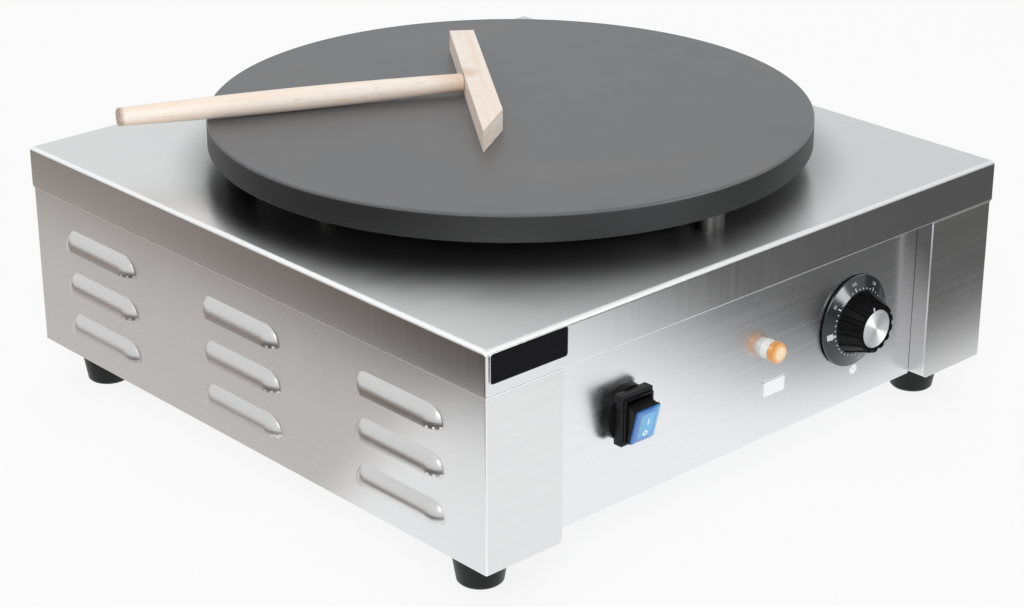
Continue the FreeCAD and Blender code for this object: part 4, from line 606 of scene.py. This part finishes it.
def power(name, description, default):
    return bpy.props.FloatProperty(name=name, description=description, default=default, min=0.0,
                                   unit="POWER")


def tint(name, description, default):
    return bpy.props.FloatVectorProperty(name=name, description=description, default=default,
                                         min=0.0, max=1.0, subtype="COLOR")


def level(name, description, default, low=0.05):
    return bpy.props.FloatProperty(name=name, description=description, default=default, min=low,
                                   max=1.0, subtype="FACTOR")


def distance(name, description, default, low, high):
    return bpy.props.FloatProperty(name=name, description=description, default=default, min=low,
                                   max=high, unit="LENGTH")


class CREPE_PG_studio(bpy.types.PropertyGroup):
    ambient: bpy.props.FloatProperty(
        name="Ambient", description="Light from the air all round", default=0.64, min=0.0)
    mirrored: bpy.props.FloatProperty(
        name="Mirrored air", description="Brightness of the air in polished metal",
        default=0.90, min=0.0)
    back_power: power("Back lamp", "Power of the lamp behind and above", 4.0)
    key_power: power("Key lamp", "Power of the soft lamp at the near left", 30.0)
    strip_power: power("Strip lamp", "Power of the low strip in front, seen in the dial", 7.0)
    floor_colour: tint("Floor", "Colour of the table and backdrop", (0.86, 0.86, 0.86))


class CREPE_PG_metal(bpy.types.PropertyGroup):
    pan_colour: tint("Pan", "Tint of the folded top pan", (0.71, 0.705, 0.70))
    pan_roughness: level("Pan roughness", "Blur of reflections in the pan", 0.31)
    side_colour: tint("Side panels", "Tint of the side panels", (0.70, 0.69, 0.68))
    side_roughness: level("Side roughness", "Blur of reflections in the side panels", 0.25)
    panel_colour: tint("Front panel", "Tint of the front and rear panels", (0.74, 0.74, 0.745))
    panel_roughness: level("Panel roughness", "Blur of reflections in the front panel", 0.25)
    # The posts' tint is darkened as painted shade under the plate.
    painted_shade_post_colour: tint("Posts", "Tint of the plate posts", (0.14, 0.139, 0.137))


class CREPE_PG_plate(bpy.types.PropertyGroup):
    iron_colour: tint("Griddle", "Colour of the cast griddle plate", (0.108, 0.112, 0.119))
    iron_roughness: level("Griddle roughness", "Blur of the sheen on the plate", 0.40)


class CREPE_PG_controls(bpy.types.PropertyGroup):
    black_colour: tint("Black plastic", "Switch and grip", (0.010, 0.010, 0.011))
    dial_colour: tint("Dial", "Dial under the printed scale", (0.016, 0.019, 0.021))
    blue_colour: tint("Switch lens", "Border of the blue lens", (0.055, 0.19, 0.52))
    light_blue: tint("Switch lens middle", "Middle of the blue lens", (0.10, 0.42, 0.72))
    amber_colour: tint("Lamp lens", "Rim of the amber lens", (0.80, 0.36, 0.09))
    ink_colour: tint("Ink", "White print of the scale and signs", (0.62, 0.63, 0.68))
    ink_height: distance("Ink height", "How far the print stands up", 0.00006, 0.00001, 0.0005)
    digit_size: distance("Digits", "Height of the dial's numbers", 0.0028, 0.001, 0.006)
    dot_radius: distance("Dots", "Radius of the dial's dots", 0.00048, 0.0002, 0.001)


class CREPE_PG_trim(bpy.types.PropertyGroup):
    badge_width: distance("Plate width", "Bare plate on the skirt", 0.0598, 0.01, 0.2)
    badge_height: distance("Plate height", "Bare plate on the skirt", 0.0193, 0.005, 0.026)
    badge_thick: distance("Plate thickness", "Bare plate on the skirt", 0.0008, 0.0002, 0.003)
    label_width: distance("Label width", "Blank label under the lamp", 0.021, 0.005, 0.06)
    label_height: distance("Label height", "Blank label under the lamp", 0.011, 0.003, 0.04)


class CREPE_PG_wood(bpy.types.PropertyGroup):
    wood_colour: tint("Beech", "Colour of the spreader", (1.0, 0.89, 0.82))
    flecks: level("Flecks", "Strength of the small dark flecks", 0.35, 0.0)


# Steps

class CREPE_OT_studio(bpy.types.Operator):
    """Floor, air, lamps and the camera at the photograph's viewing angle"""
    bl_idname = "crepe.studio"
    bl_label = "Studio"

    def execute(self, context):
        scene = context.scene
        values = scene.crepe_studio
        scene.view_settings.view_transform = "Standard"
        camera(scene)
        studio_world(scene, values)
        studio_floor(values)
        lamp("back_lamp", (0.5, 1.4, 2.0), (0, 0, 0.15), 1.8, 1.4, values.back_power)
        lamp("key_lamp", (-1.7, -1.6, 1.9), (0, 0, 0.1), 1.6, 1.4, values.key_power)
        lamp("strip_lamp", (0.75, -2.1, 0.20), (0.1, -0.2, 0.1), 0.8, 0.3, values.strip_power)
        return {"FINISHED"}


class CREPE_OT_housing(bpy.types.Operator):
    """Brushed sheet finishes of the pan, the side panels, the other panels and the base"""
    bl_idname = "crepe.housing"
    bl_label = "Housing"

    def execute(self, context):
        metal = context.scene.crepe_metal
        dress(rolled("pan_steel", metal.pan_colour, metal.pan_roughness, (6.0, 2400.0, 2400.0),
                     (0.1, 1.0, 0.0), 0.85, pan_marks), "top_pan")
        dress(rolled("side_steel", metal.side_colour, metal.side_roughness,
                     (6.0, 6.0, 2400.0), (0.0, 0.0, 1.0), 0.2, side_marks),
              "left_side_panel", "right_side_panel")
        dress(rolled("panel_steel", metal.panel_colour, metal.panel_roughness,
                     (6.0, 6.0, 2400.0), (0.0, 0.0, 1.0), 0.2), "front_panel", "rear_panel")
        dress(spangled("base_sheet", (0.60, 0.61, 0.63), 0.42), "base_plate")
        fastener = plated("zinc_plating", (0.62, 0.63, 0.66), (0.64, 0.61, 0.52), 0.36)
        dress(fastener, "base_screws", "block_screws", "clamp_screws", "earth_nut", "earth_stud",
              "foot_nuts", "foot_screws", "lamp_nut", "panel_rivets", "post_nuts",
              "post_washers", "sensor_screws", "thermostat_screws")
        return {"FINISHED"}


def cast_iron(colour, roughness):
    """Seasoned iron: a browner bloom in patches, pits, faint turned rings, and painted shade on
    the rim and underside.
    """
    iron = Finish("griddle_iron", colour, roughness, IOR=1.55)
    flat = iron.place((1.0, 1.0, 0.0), centre=(*PLATE_CENTRE, 0.0))
    reach = iron.length(flat)
    season = iron.noise(9.0, iron.place(), detail=4.0, rough=0.55)
    haze = iron.noise(38.0, iron.place(), detail=5.0, rough=0.65)
    pits = iron.noise(1700.0, iron.place(), detail=2.0)
    rings = iron.noise(1.0, iron.add("CombineXYZ", X=iron.times(reach, 2200.0)),
                       detail=2.0)
    seasoned = iron.mix(iron.ramp(season, 0.35, 0.65), shade(colour, 0.88),
                        (colour[0] * 1.16, colour[1] * 1.10, colour[2] * 1.04))
    grained = iron.mix(iron.times(iron.ramp(pits, 0.55, 0.75), 0.25), seasoned,
                       shade(colour, 0.55))
    # Painted shade: the rim and underside take about a tenth of the top's colour.
    side = iron.ramp(iron.axis(iron.place(), 2), PLATE_TOP - 0.0022, PLATE_TOP - 0.0012)
    iron.link("Base Color", iron.mix(side, shade(colour, 0.09), grained))
    glaze = iron.plus(iron.ramp(season, 0.3, 0.7, roughness - 0.02, roughness + 0.03),
                      iron.ramp(haze, 0.35, 0.7, -0.01, 0.02))
    iron.link("Roughness", iron.mix(side, (roughness + 0.1,) * 3, glaze))
    iron.bump(iron.plus(iron.times(pits, 0.7),
                        iron.times(rings, 0.3)), 0.10, 0.00012)
    return iron.material


class CREPE_OT_plate(bpy.types.Operator):
    """Dark cast griddle plate and its satin posts"""
    bl_idname = "crepe.plate"
    bl_label = "Plate"

    def execute(self, context):
        values = context.scene.crepe_plate
        dress(cast_iron(values.iron_colour, values.iron_roughness), "griddle_plate")
        # Painted shade: the posts take the darkened tint.
        dress(ringed("post_steel", context.scene.crepe_metal.painted_shade_post_colour, 0.30),
              "plate_post_front", "plate_post_rear_left", "plate_post_rear_right")
        return {"FINISHED"}


def scaled_sheath():
    """Element tube: brown and grey scale with bluer places."""
    sheath = Finish("element_sheath", (0.20, 0.19, 0.18), 0.5, 0.85)
    scale = sheath.noise(160.0, sheath.place(), detail=4.0, rough=0.6)
    heat = sheath.noise(24.0, sheath.place(), detail=2.0)
    brown = sheath.mix(sheath.ramp(scale, 0.35, 0.7), (0.13, 0.12, 0.12), (0.27, 0.21, 0.16))
    sheath.wear(sheath.ramp(heat, 0.5, 0.72, 0.0, 0.6), brown, (0.14, 0.16, 0.24), scale,
                0.42, 0.66)
    sheath.bump(scale, 0.12, 0.0002)
    return sheath.material


def pressed_wool():
    """Insulation: fibres that lie two ways and soft tufts."""
    wool = Finish("mineral_wool", (0.80, 0.76, 0.62), 1.0, Specular_IOR_Level=0.1)
    lying = wool.noise(1.0, wool.place((300.0, 2200.0, 2200.0), turn=(0, 0, 0.6)), detail=4.0)
    crossing = wool.noise(1.0, wool.place((2200.0, 260.0, 2200.0), turn=(0, 0, 0.25)),
                          detail=4.0)
    tuft = wool.noise(55.0, wool.place(), detail=4.0, rough=0.7)
    fibres = wool.plus(wool.times(lying, 0.5),
                       wool.times(crossing, 0.5))
    wool.link("Base Color", wool.mix(wool.ramp(fibres, 0.38, 0.62), (0.66, 0.60, 0.44),
                                     (0.88, 0.85, 0.74)))
    wool.bump(wool.plus(fibres, tuft), 0.6, 0.0006)
    return wool.material


def drawn_copper():
    """Copper tube: bright with darker tarnish in patches."""
    copper = Finish("drawn_copper", (0.78, 0.42, 0.27), 0.28, 1.0)
    tarnish = copper.noise(130.0, copper.place(), detail=4.0, rough=0.6)
    copper.wear(copper.ramp(tarnish, 0.5, 0.72, 0.0, 0.75), (0.80, 0.45, 0.29),
                (0.40, 0.20, 0.12), tarnish, 0.22, 0.5, 0.3, 0.75)
    copper.bump(tarnish, 0.05, 0.0001)
    return copper.material


class CREPE_OT_heating(bpy.types.Operator):
    """Element, its clamp, the blanket, the heat shield and the sensor under the plate"""
    bl_idname = "crepe.heating"
    bl_label = "Heating parts"

    def execute(self, context):
        # Painted shade: the heat shield is near black for the shade under the plate.
        dress(spangled("painted_shade_sheet", (0.055, 0.055, 0.058), 0.50), "heat_shield")
        dress(spangled("clamp_sheet", (0.50, 0.50, 0.51), 0.40), "element_clamp_plate",
              "sensor_clip")
        dress(scaled_sheath(), "heating_element")
        dress(pressed_wool(), "insulation_blanket")
        dress(drawn_copper(), "capillary_tube", "sensor_bulb")
        return {"FINISHED"}


def drawn_brass():
    """Blades: lines along the strip and dull patches."""
    brass = Finish("tinned_brass", (0.76, 0.60, 0.32), 0.32, 1.0)
    drawn = brass.noise(1.0, brass.place((500.0, 30.0, 3000.0)), detail=3.0)
    dull = brass.noise(210.0, brass.place(), detail=3.0)
    brass.wear(brass.ramp(dull, 0.45, 0.75, 0.0, 0.6), (0.78, 0.62, 0.34),
               (0.50, 0.36, 0.18), drawn, 0.26, 0.42)
    brass.bump(drawn, 0.05, 0.00005)
    return brass.material


class CREPE_OT_inside(bpy.types.Operator):
    """Control, terminals, connecting block and cable gland inside and behind the housing"""
    bl_idname = "crepe.inside"
    bl_label = "Inner parts"

    def execute(self, context):
        dress(moulded("control_moulding", (0.035, 0.034, 0.033), 0.45, bump=0.08),
              "thermostat_body", "switch_housing")
        dress(moulded("gland_nylon", (0.020, 0.020, 0.021), 0.38, bump=0.06),
              "cable_gland", "gland_nut")
        dress(moulded("block_nylon", (0.72, 0.71, 0.66), 0.5, grain=1100.0, bump=0.06, dust=0.0),
              "terminal_block")
        dress(drawn_brass(), "switch_terminals")
        dress(turned_metal("shaft_steel", (0.66, 0.66, 0.66), 0.28,
                           (DIAL_AXIS[0], 0.0, DIAL_AXIS[1]), 1, 0.3),
              "thermostat_shaft")
        dress(ringed("pin_steel", (0.60, 0.60, 0.60), 0.3), "rocker_pin")
        return {"FINISHED"}


def rocker_face(shape, across, along, lift=0.0):
    """Shape on the rocker's leaning face, at a place along it, lifted off it."""
    lean_sin, lean_cos = math.sin(ROCKER_LEAN), math.cos(ROCKER_LEAN)
    up, out = np.array((0, -lean_sin, lean_cos)), np.array((0, -lean_cos, -lean_sin))
    origin = np.array(ROCKER_PIVOT) + out * (ROCKER_REACH + lift) + up * along
    return on_face(shape, origin + np.array((across, 0.0, 0.0)), up=up, out=out)


def switch_blue(name, values, centre):
    """Tinted lens: a deeper blue border round a lighter middle, paler towards one side."""
    lens = Finish(name, values.blue_colour, 0.12, Coat_Weight=0.6, Coat_Roughness=0.04)
    where = lens.place(turn=(-ROCKER_LEAN, 0, 0), centre=centre)
    across = lens.axis(where, 0)
    aside = lens.ramp(lens.size(where, 0), 0.0052, 0.0062)
    above = lens.ramp(lens.size(where, 2), 0.0072, 0.0082)
    border = lens.most(aside, above)
    cloud = lens.noise(330.0, lens.place(), detail=2.0)
    paler = lens.mix(lens.ramp(across, -0.004, 0.009), values.light_blue,
                     shade(values.light_blue, 1.22))
    middle = lens.mix(lens.times(cloud, 0.3), paler, shade(values.blue_colour, 1.1))
    edge = lens.mix(lens.ramp(across, 0.003, 0.0095), values.blue_colour,
                    shade(values.light_blue, 1.1))
    lens.wear(border, middle, edge, cloud, 0.08, 0.16)
    lens.bump(lens.noise(700.0, lens.place(), detail=1.0), 0.03, 0.00005)
    return lens.material


class CREPE_OT_switch(bpy.types.Operator):
    """Gasket, bezel and rocker, its shaped window and its two signs"""
    bl_idname = "crepe.switch"
    bl_label = "Switch"

    def execute(self, context):
        values = context.scene.crepe_controls
        moulding = moulded("switch_moulding", values.black_colour, 0.26, bump=0.03, gloss=0.2)
        dress(moulding, "switch_bezel", "rocker_button")
        dress(moulded("gasket_rubber", (0.008, 0.008, 0.008), 0.42, bump=0.08, gloss=0.1),
              "switch_gasket")
        centre = (ROCKER_PIVOT[0], ROCKER_PIVOT[1] - ROCKER_REACH * math.cos(ROCKER_LEAN),
                  ROCKER_PIVOT[2] - ROCKER_REACH * math.sin(ROCKER_LEAN))
        blue = switch_blue("blue_lens", values, centre)
        dress(blue, "rocker_lens")
        steps = [(0.0, 0.0), (0.0, 0.00015), (0.00015, 0.0003), (0.0022, 0.00075),
                 (0.0026, 0.00078), (0.0030, 0.00062), (0.0034, 0.00058), (0.0050, 0.00056)]
        piece("rocker_window", [rocker_face(stepped_plate(0.0094, 0.0114, 0.0014, steps), 0, 0)],
              blue, "rocker", smooth=False)
        piece("switch_collar", [on_face(flared_band(0.0174, 0.0134, 0.0167, 0.002, 0.0046,
                                                    0.0078),
                                        (ROCKER_PIVOT[0], PANEL_FACE, ROCKER_PIVOT[2]))],
              moulding, "cooker")
        white = printed("sign_white", (0.84, 0.90, 0.94), 0.3)
        lift = 0.00055
        piece("rocker_signs",
              [rocker_face(plaque(0.00058, 0.0021, 0.0004, 0.0002, 0.0001), 0.0009, 0.0024, lift),
               rocker_face(hoop(0.0015, 0.00058, 0.00025), 0.0004, -0.0058, lift)],
              white, "rocker")
        return {"FINISHED"}


def amber_lens(colour):
    """Lens: pale in the middle, deeper at the rim, with fine moulded rings."""
    centre = (LAMP_AXIS[0], 0.0, LAMP_AXIS[1])
    amber = Finish("amber_lens", colour, 0.14, Coat_Weight=0.5, Coat_Roughness=0.05)
    reach = amber.length(amber.place((1.0, 0.0, 1.0), centre=centre))
    deep = amber.ramp(reach, 0.0030, 0.0064, soft=True)
    cloud = amber.noise(420.0, amber.place(), detail=2.0)
    middle = amber.mix(cloud, (0.93, 0.74, 0.46), (0.96, 0.80, 0.56))
    amber.wear(deep, middle, colour, cloud, 0.10, 0.2)
    rings = amber.math("SINE", amber.times(reach, 9000.0))
    amber.bump(rings, 0.06, 0.0001)
    return amber.material


class CREPE_OT_lamp(bpy.types.Operator):
    """White lamp body and its amber lens"""
    bl_idname = "crepe.lamp"
    bl_label = "Lamp"

    def execute(self, context):
        values = context.scene.crepe_controls
        dress(moulded("lamp_white", (0.86, 0.86, 0.85), 0.28, dust=0.0), "lamp_body")
        dress(amber_lens(values.amber_colour), "lamp_lens")
        return {"FINISHED"}


def printed_scale(values):
    """Dots every 9 degrees, a number every 45, the zero block, and a painted highlight on the
    grip.
    """
    ink = printed("scale_ink", values.ink_colour, 0.35)
    high, dot = values.ink_height, values.dot_radius
    small = plaque(dot, dot, dot * 0.95, high, high / 2, arc=2)
    long = plaque(dot * 0.8, dot * 2.6, dot * 0.6, high, high / 2, arc=2)
    tens = np.arange(-81.0, 189.0, 9.0)
    rest = np.arange(198.0, 279.0, 10.0)
    marks = [on_dial(long if step % 5 == 0 else small, angle, 0.0233 if step % 5 == 0
                     else 0.0227) for step, angle in enumerate(tens)]
    marks += [on_dial(small, angle, 0.0227) for angle in rest]
    piece("dial_dots", marks, ink, "knob")
    piece("dial_zero", [on_dial(plaque(0.0021, 0.0022, 0.0005, high, high / 2, arc=3),
                                188.5, 0.0262),
                        on_dial(plaque(0.0009, 0.0009, 0.0005, high, high / 2, arc=3),
                                189.5, 0.0229)], ink, "knob")
    numbers = [on_dial(numerals(str(50 * place), values.digit_size, high),
                       189.0 - 45.0 * place, 0.0272) for place in range(1, 7)]
    piece("dial_numbers", numbers, ink, "knob", smooth=False)
    # Painted highlight: a white mark on the grip's front edge where a glint shows.
    lean = math.radians(104.0)
    spot = (DIAL_AXIS[0] + 0.0147 * math.cos(lean), PANEL_FACE - 0.0205,
            DIAL_AXIS[1] + 0.0147 * math.sin(lean))
    piece("grip_painted_highlight", [on_face(plaque(0.00065, 0.00145, 0.0004, 0.0001, 0.00005), spot,
                                   right=(math.sin(lean), 0, -math.cos(lean)),
                                   up=(math.cos(lean), 0, math.sin(lean)))],
          ink, "knob")
    return


class CREPE_OT_dial(bpy.types.Operator):
    """Dial with its printed scale, fluted grip with a painted highlight, and the faced metal cap
    """
    bl_idname = "crepe.dial"
    bl_label = "Dial"

    def execute(self, context):
        values = context.scene.crepe_controls
        dress(moulded("dial_gloss", values.dial_colour, 0.14, coat=0.3, bump=0.02, gloss=0.5),
              "dial_skirt")
        dress(moulded("grip_moulding", shade(values.black_colour, 0.4), 0.24, bump=0.03,
                      gloss=0.12), "knob_grip")
        dress(turned_metal("cap_aluminium", (0.98, 0.98, 0.99), 0.50,
                           (DIAL_AXIS[0], 0.0, DIAL_AXIS[1]), 1, 0.85), "knob_cap")
        printed_scale(values)
        return {"FINISHED"}


def bare_plate(values):
    """Black enamelled plate with rounded corners and a bare bright edge."""
    wide, tall = values.badge_width / 2, values.badge_height / 2
    middle = (-0.1949, SKIRT_FACE, 0.15525)
    enamel = Finish("plate_enamel", (0.008, 0.008, 0.009), 0.24, Specular_IOR_Level=0.02)
    place = enamel.place(centre=middle)
    corner = 0.0024
    past = [enamel.most(enamel.less(enamel.size(place, index),
                                    half - corner), 0.0)
            for index, half in ((0, wide), (2, tall))]
    inward = enamel.less(corner, enamel.length(
        enamel.add("CombineXYZ", X=past[0], Y=past[1])))
    bare = enamel.ramp(inward, 0.00042, 0.00055, 1.0, 0.0)
    wear = enamel.noise(700.0, enamel.place(), detail=3.0)
    black = enamel.mix(wear, (0.006, 0.006, 0.007), (0.012, 0.012, 0.013))
    enamel.wear(bare, black, (0.74, 0.74, 0.75), wear, 0.18, 0.30)
    enamel.link("Metallic", bare)
    enamel.bump(wear, 0.04, 0.00005)
    piece("skirt_plate", [on_face(plaque(wide, tall, corner, values.badge_thick, 0.00035),
                                  middle)], enamel.material, "cooker")


def blank_label(values):
    """White label with a thin dark line along its top and its left edge."""
    wide, tall = values.label_width / 2, values.label_height / 2
    middle = (0.0297, PANEL_FACE, 0.0600)
    film = Finish("label_film", (0.90, 0.91, 0.92), 0.35)
    place = film.place(centre=middle)
    lines = [film.ramp(film.math("ABSOLUTE", film.math(kind, film.axis(place, index),
                                                       half - 0.0007)),
                       0.0002, 0.0003, 1.0, 0.0)
             for kind, index, half in (("SUBTRACT", 2, tall), ("ADD", 0, wide))]
    cloud = film.noise(800.0, film.place(), detail=2.0)
    paper = film.mix(cloud, (0.88, 0.89, 0.90), (0.93, 0.94, 0.95))
    film.wear(film.most(*lines), paper, (0.22, 0.23, 0.24), cloud, 0.30, 0.42)
    film.bump(cloud, 0.03, 0.00005)
    piece("blank_label", [on_face(plaque(wide, tall, 0.0012, 0.0002, 0.0001), middle)],
          film.material, "cooker")


def index_mark():
    """Small round mark under the dial with a dark point."""
    spot = (0.1083, PANEL_FACE, 0.0473)
    mark = Finish("index_white", (0.93, 0.93, 0.93), 0.3)
    reach = mark.length(mark.place((1.0, 0.0, 1.0), centre=spot))
    cloud = mark.noise(900.0, mark.place(), detail=2.0)
    pale = mark.mix(cloud, (0.90, 0.90, 0.90), (0.96, 0.96, 0.96))
    mark.wear(mark.ramp(reach, 0.00035, 0.00055, 1.0, 0.0), pale, (0.35, 0.35, 0.36), cloud,
              0.25, 0.36)
    mark.bump(cloud, 0.03, 0.00005)
    piece("index_mark", [on_face(plaque(0.0035, 0.0035, 0.0034, 0.00035, 0.0002, arc=8),
                                 spot)], mark.material, "cooker")


class CREPE_OT_trim(bpy.types.Operator):
    """Bare plate on the skirt, blank label and the dial's index mark"""
    bl_idname = "crepe.trim"
    bl_label = "Plates and marks"

    def execute(self, context):
        values = context.scene.crepe_trim
        bare_plate(values)
        blank_label(values)
        index_mark()
        return {"FINISHED"}


def beech(name, values, turn, centre, dark=()):
    """Pale beech: soft bands along the grain, short dark flecks, and darker spots: painted shade
    at a joint and darker end grain where cut.

    Each dark spot is a place in the piece's own measures, its inner and outer reach, a colour
    and a strength.
    """
    wood = Finish(name, values.wood_colour, 0.55)
    along = (0, 0, turn)
    colour = values.wood_colour
    bands = wood.noise(1.0, wood.place((5.0, 150.0, 150.0), along, centre), detail=3.0, rough=0.6)
    pores = wood.noise(1.0, wood.place((320.0, 3000.0, 3000.0), along, centre), detail=2.0)
    flecks = wood.ramp(wood.noise(1.0, wood.place((110.0, 1300.0, 700.0), along, centre),
                                  detail=1.0), 0.62, 0.70)
    warm = (colour[0] * 0.97, colour[1] * 0.90, colour[2] * 0.82)
    tone = wood.mix(wood.ramp(bands, 0.35, 0.68), warm, shade(colour, 1.05))
    tone = wood.mix(wood.times(flecks, values.flecks), tone,
                    (colour[0] * 0.72, colour[1] * 0.58, colour[2] * 0.46))
    where = wood.place(turn=along, centre=centre)
    # Each spot darkens the tone: painted shade at a joint, darker end grain at a cut.
    for spot, inner, outer, stain_and_painted_shade, strength in dark:
        wood.add("VectorMath", {"operation": "DISTANCE"}, _0=where, _1=spot)
        reach = wood.tree.nodes[-1].outputs["Value"]
        rough = wood.noise(420.0, wood.place(), detail=4.0, rough=0.7)
        share = wood.times(wood.ramp(reach, inner, outer, strength, 0.0, soft=True),
                           wood.ramp(rough, 0.25, 0.6, 0.5, 1.0))
        tone = wood.mix(share, tone, stain_and_painted_shade)
    wood.wear(0.0, tone, tone, bands, 0.48, 0.62)
    wood.bump(wood.plus(wood.times(pores, 0.6),
                        wood.times(flecks, -0.4)), 0.18, 0.00015)
    return wood.material


class CREPE_OT_spreader(bpy.types.Operator):
    """Pale beech head and handle of the batter spreader"""
    bl_idname = "crepe.spreader"
    bl_label = "Spreader"

    def execute(self, context):
        values = context.scene.crepe_wood
        # The head's dark spot is painted shade where the handle meets it.
        dress(beech("beech_head", values, HEAD_TURN, HEAD_CORNER,
                    [((HANDLE_PLACE, 0.0, 0.0077), 0.006, 0.016, (0.66, 0.42, 0.24), 0.6)]),
              "spreader_head")
        start = (HEAD_CORNER[0] + HANDLE_PLACE * math.cos(HEAD_TURN),
                 HEAD_CORNER[1] + HANDLE_PLACE * math.sin(HEAD_TURN), HEAD_CORNER[2] + 0.0077)
        # Painted shade at the handle's joint with the head. The second spot is darker end grain at
        # the cut end.
        dress(beech("beech_handle", values, HANDLE_TURN, start,
                    [((0.0, 0.0, 0.0), 0.006, 0.030, (0.70, 0.46, 0.28), 0.55),
                     ((HANDLE_LENGTH + 0.002, 0.0, 0.0), 0.0065, 0.0095,
                      (0.30, 0.20, 0.15), 0.9)]),
              "spreader_handle")
        return {"FINISHED"}


class CREPE_OT_feet(bpy.types.Operator):
    """Black rubber feet"""
    bl_idname = "crepe.feet"
    bl_label = "Feet"

    def execute(self, context):
        dress(moulded("foot_rubber", (0.008, 0.008, 0.008), 0.42, grain=900.0, bump=0.10,
                      dust=0.02, gloss=0.25),
              "foot_front_left", "foot_front_right", "foot_rear_left", "foot_rear_right")
        return {"FINISHED"}


class CREPE_PT_panel(bpy.types.Panel):
    """Lists the dressing steps and the values that they read"""
    bl_label = "Crepe maker"
    bl_idname = "CREPE_PT_panel"
    bl_space_type = "VIEW_3D"
    bl_region_type = "UI"
    bl_category = "Crepe maker"

    def draw(self, context):
        for label in GROUPS:
            values = getattr(context.scene, label)
            for entry in values.bl_rna.properties:
                if entry.identifier not in ("rna_type", "name"):
                    self.layout.prop(values, entry.identifier)
        for step in STEPS:
            self.layout.operator(step.bl_idname)


GROUPS = {"crepe_studio": CREPE_PG_studio, "crepe_metal": CREPE_PG_metal,
          "crepe_plate": CREPE_PG_plate, "crepe_controls": CREPE_PG_controls,
          "crepe_trim": CREPE_PG_trim, "crepe_wood": CREPE_PG_wood}
STEPS = (CREPE_OT_studio, CREPE_OT_housing, CREPE_OT_plate, CREPE_OT_heating, CREPE_OT_inside,
         CREPE_OT_switch, CREPE_OT_lamp, CREPE_OT_dial, CREPE_OT_trim, CREPE_OT_spreader,
         CREPE_OT_feet)
CLASSES = tuple(GROUPS.values()) + (CREPE_PT_panel,) + STEPS


def register():
    for kind in CLASSES:
        bpy.utils.register_class(kind)
    for label, kind in GROUPS.items():
        setattr(bpy.types.Scene, label, bpy.props.PointerProperty(type=kind))


def unregister():
    for label in GROUPS:
        delattr(bpy.types.Scene, label)
    for kind in reversed(CLASSES):
        bpy.utils.unregister_class(kind)


def main():
    register()
    for step in STEPS:
        group, action = step.bl_idname.split(".")
        getattr(getattr(bpy.ops, group), action)()


if __name__ == "__main__":
    main()
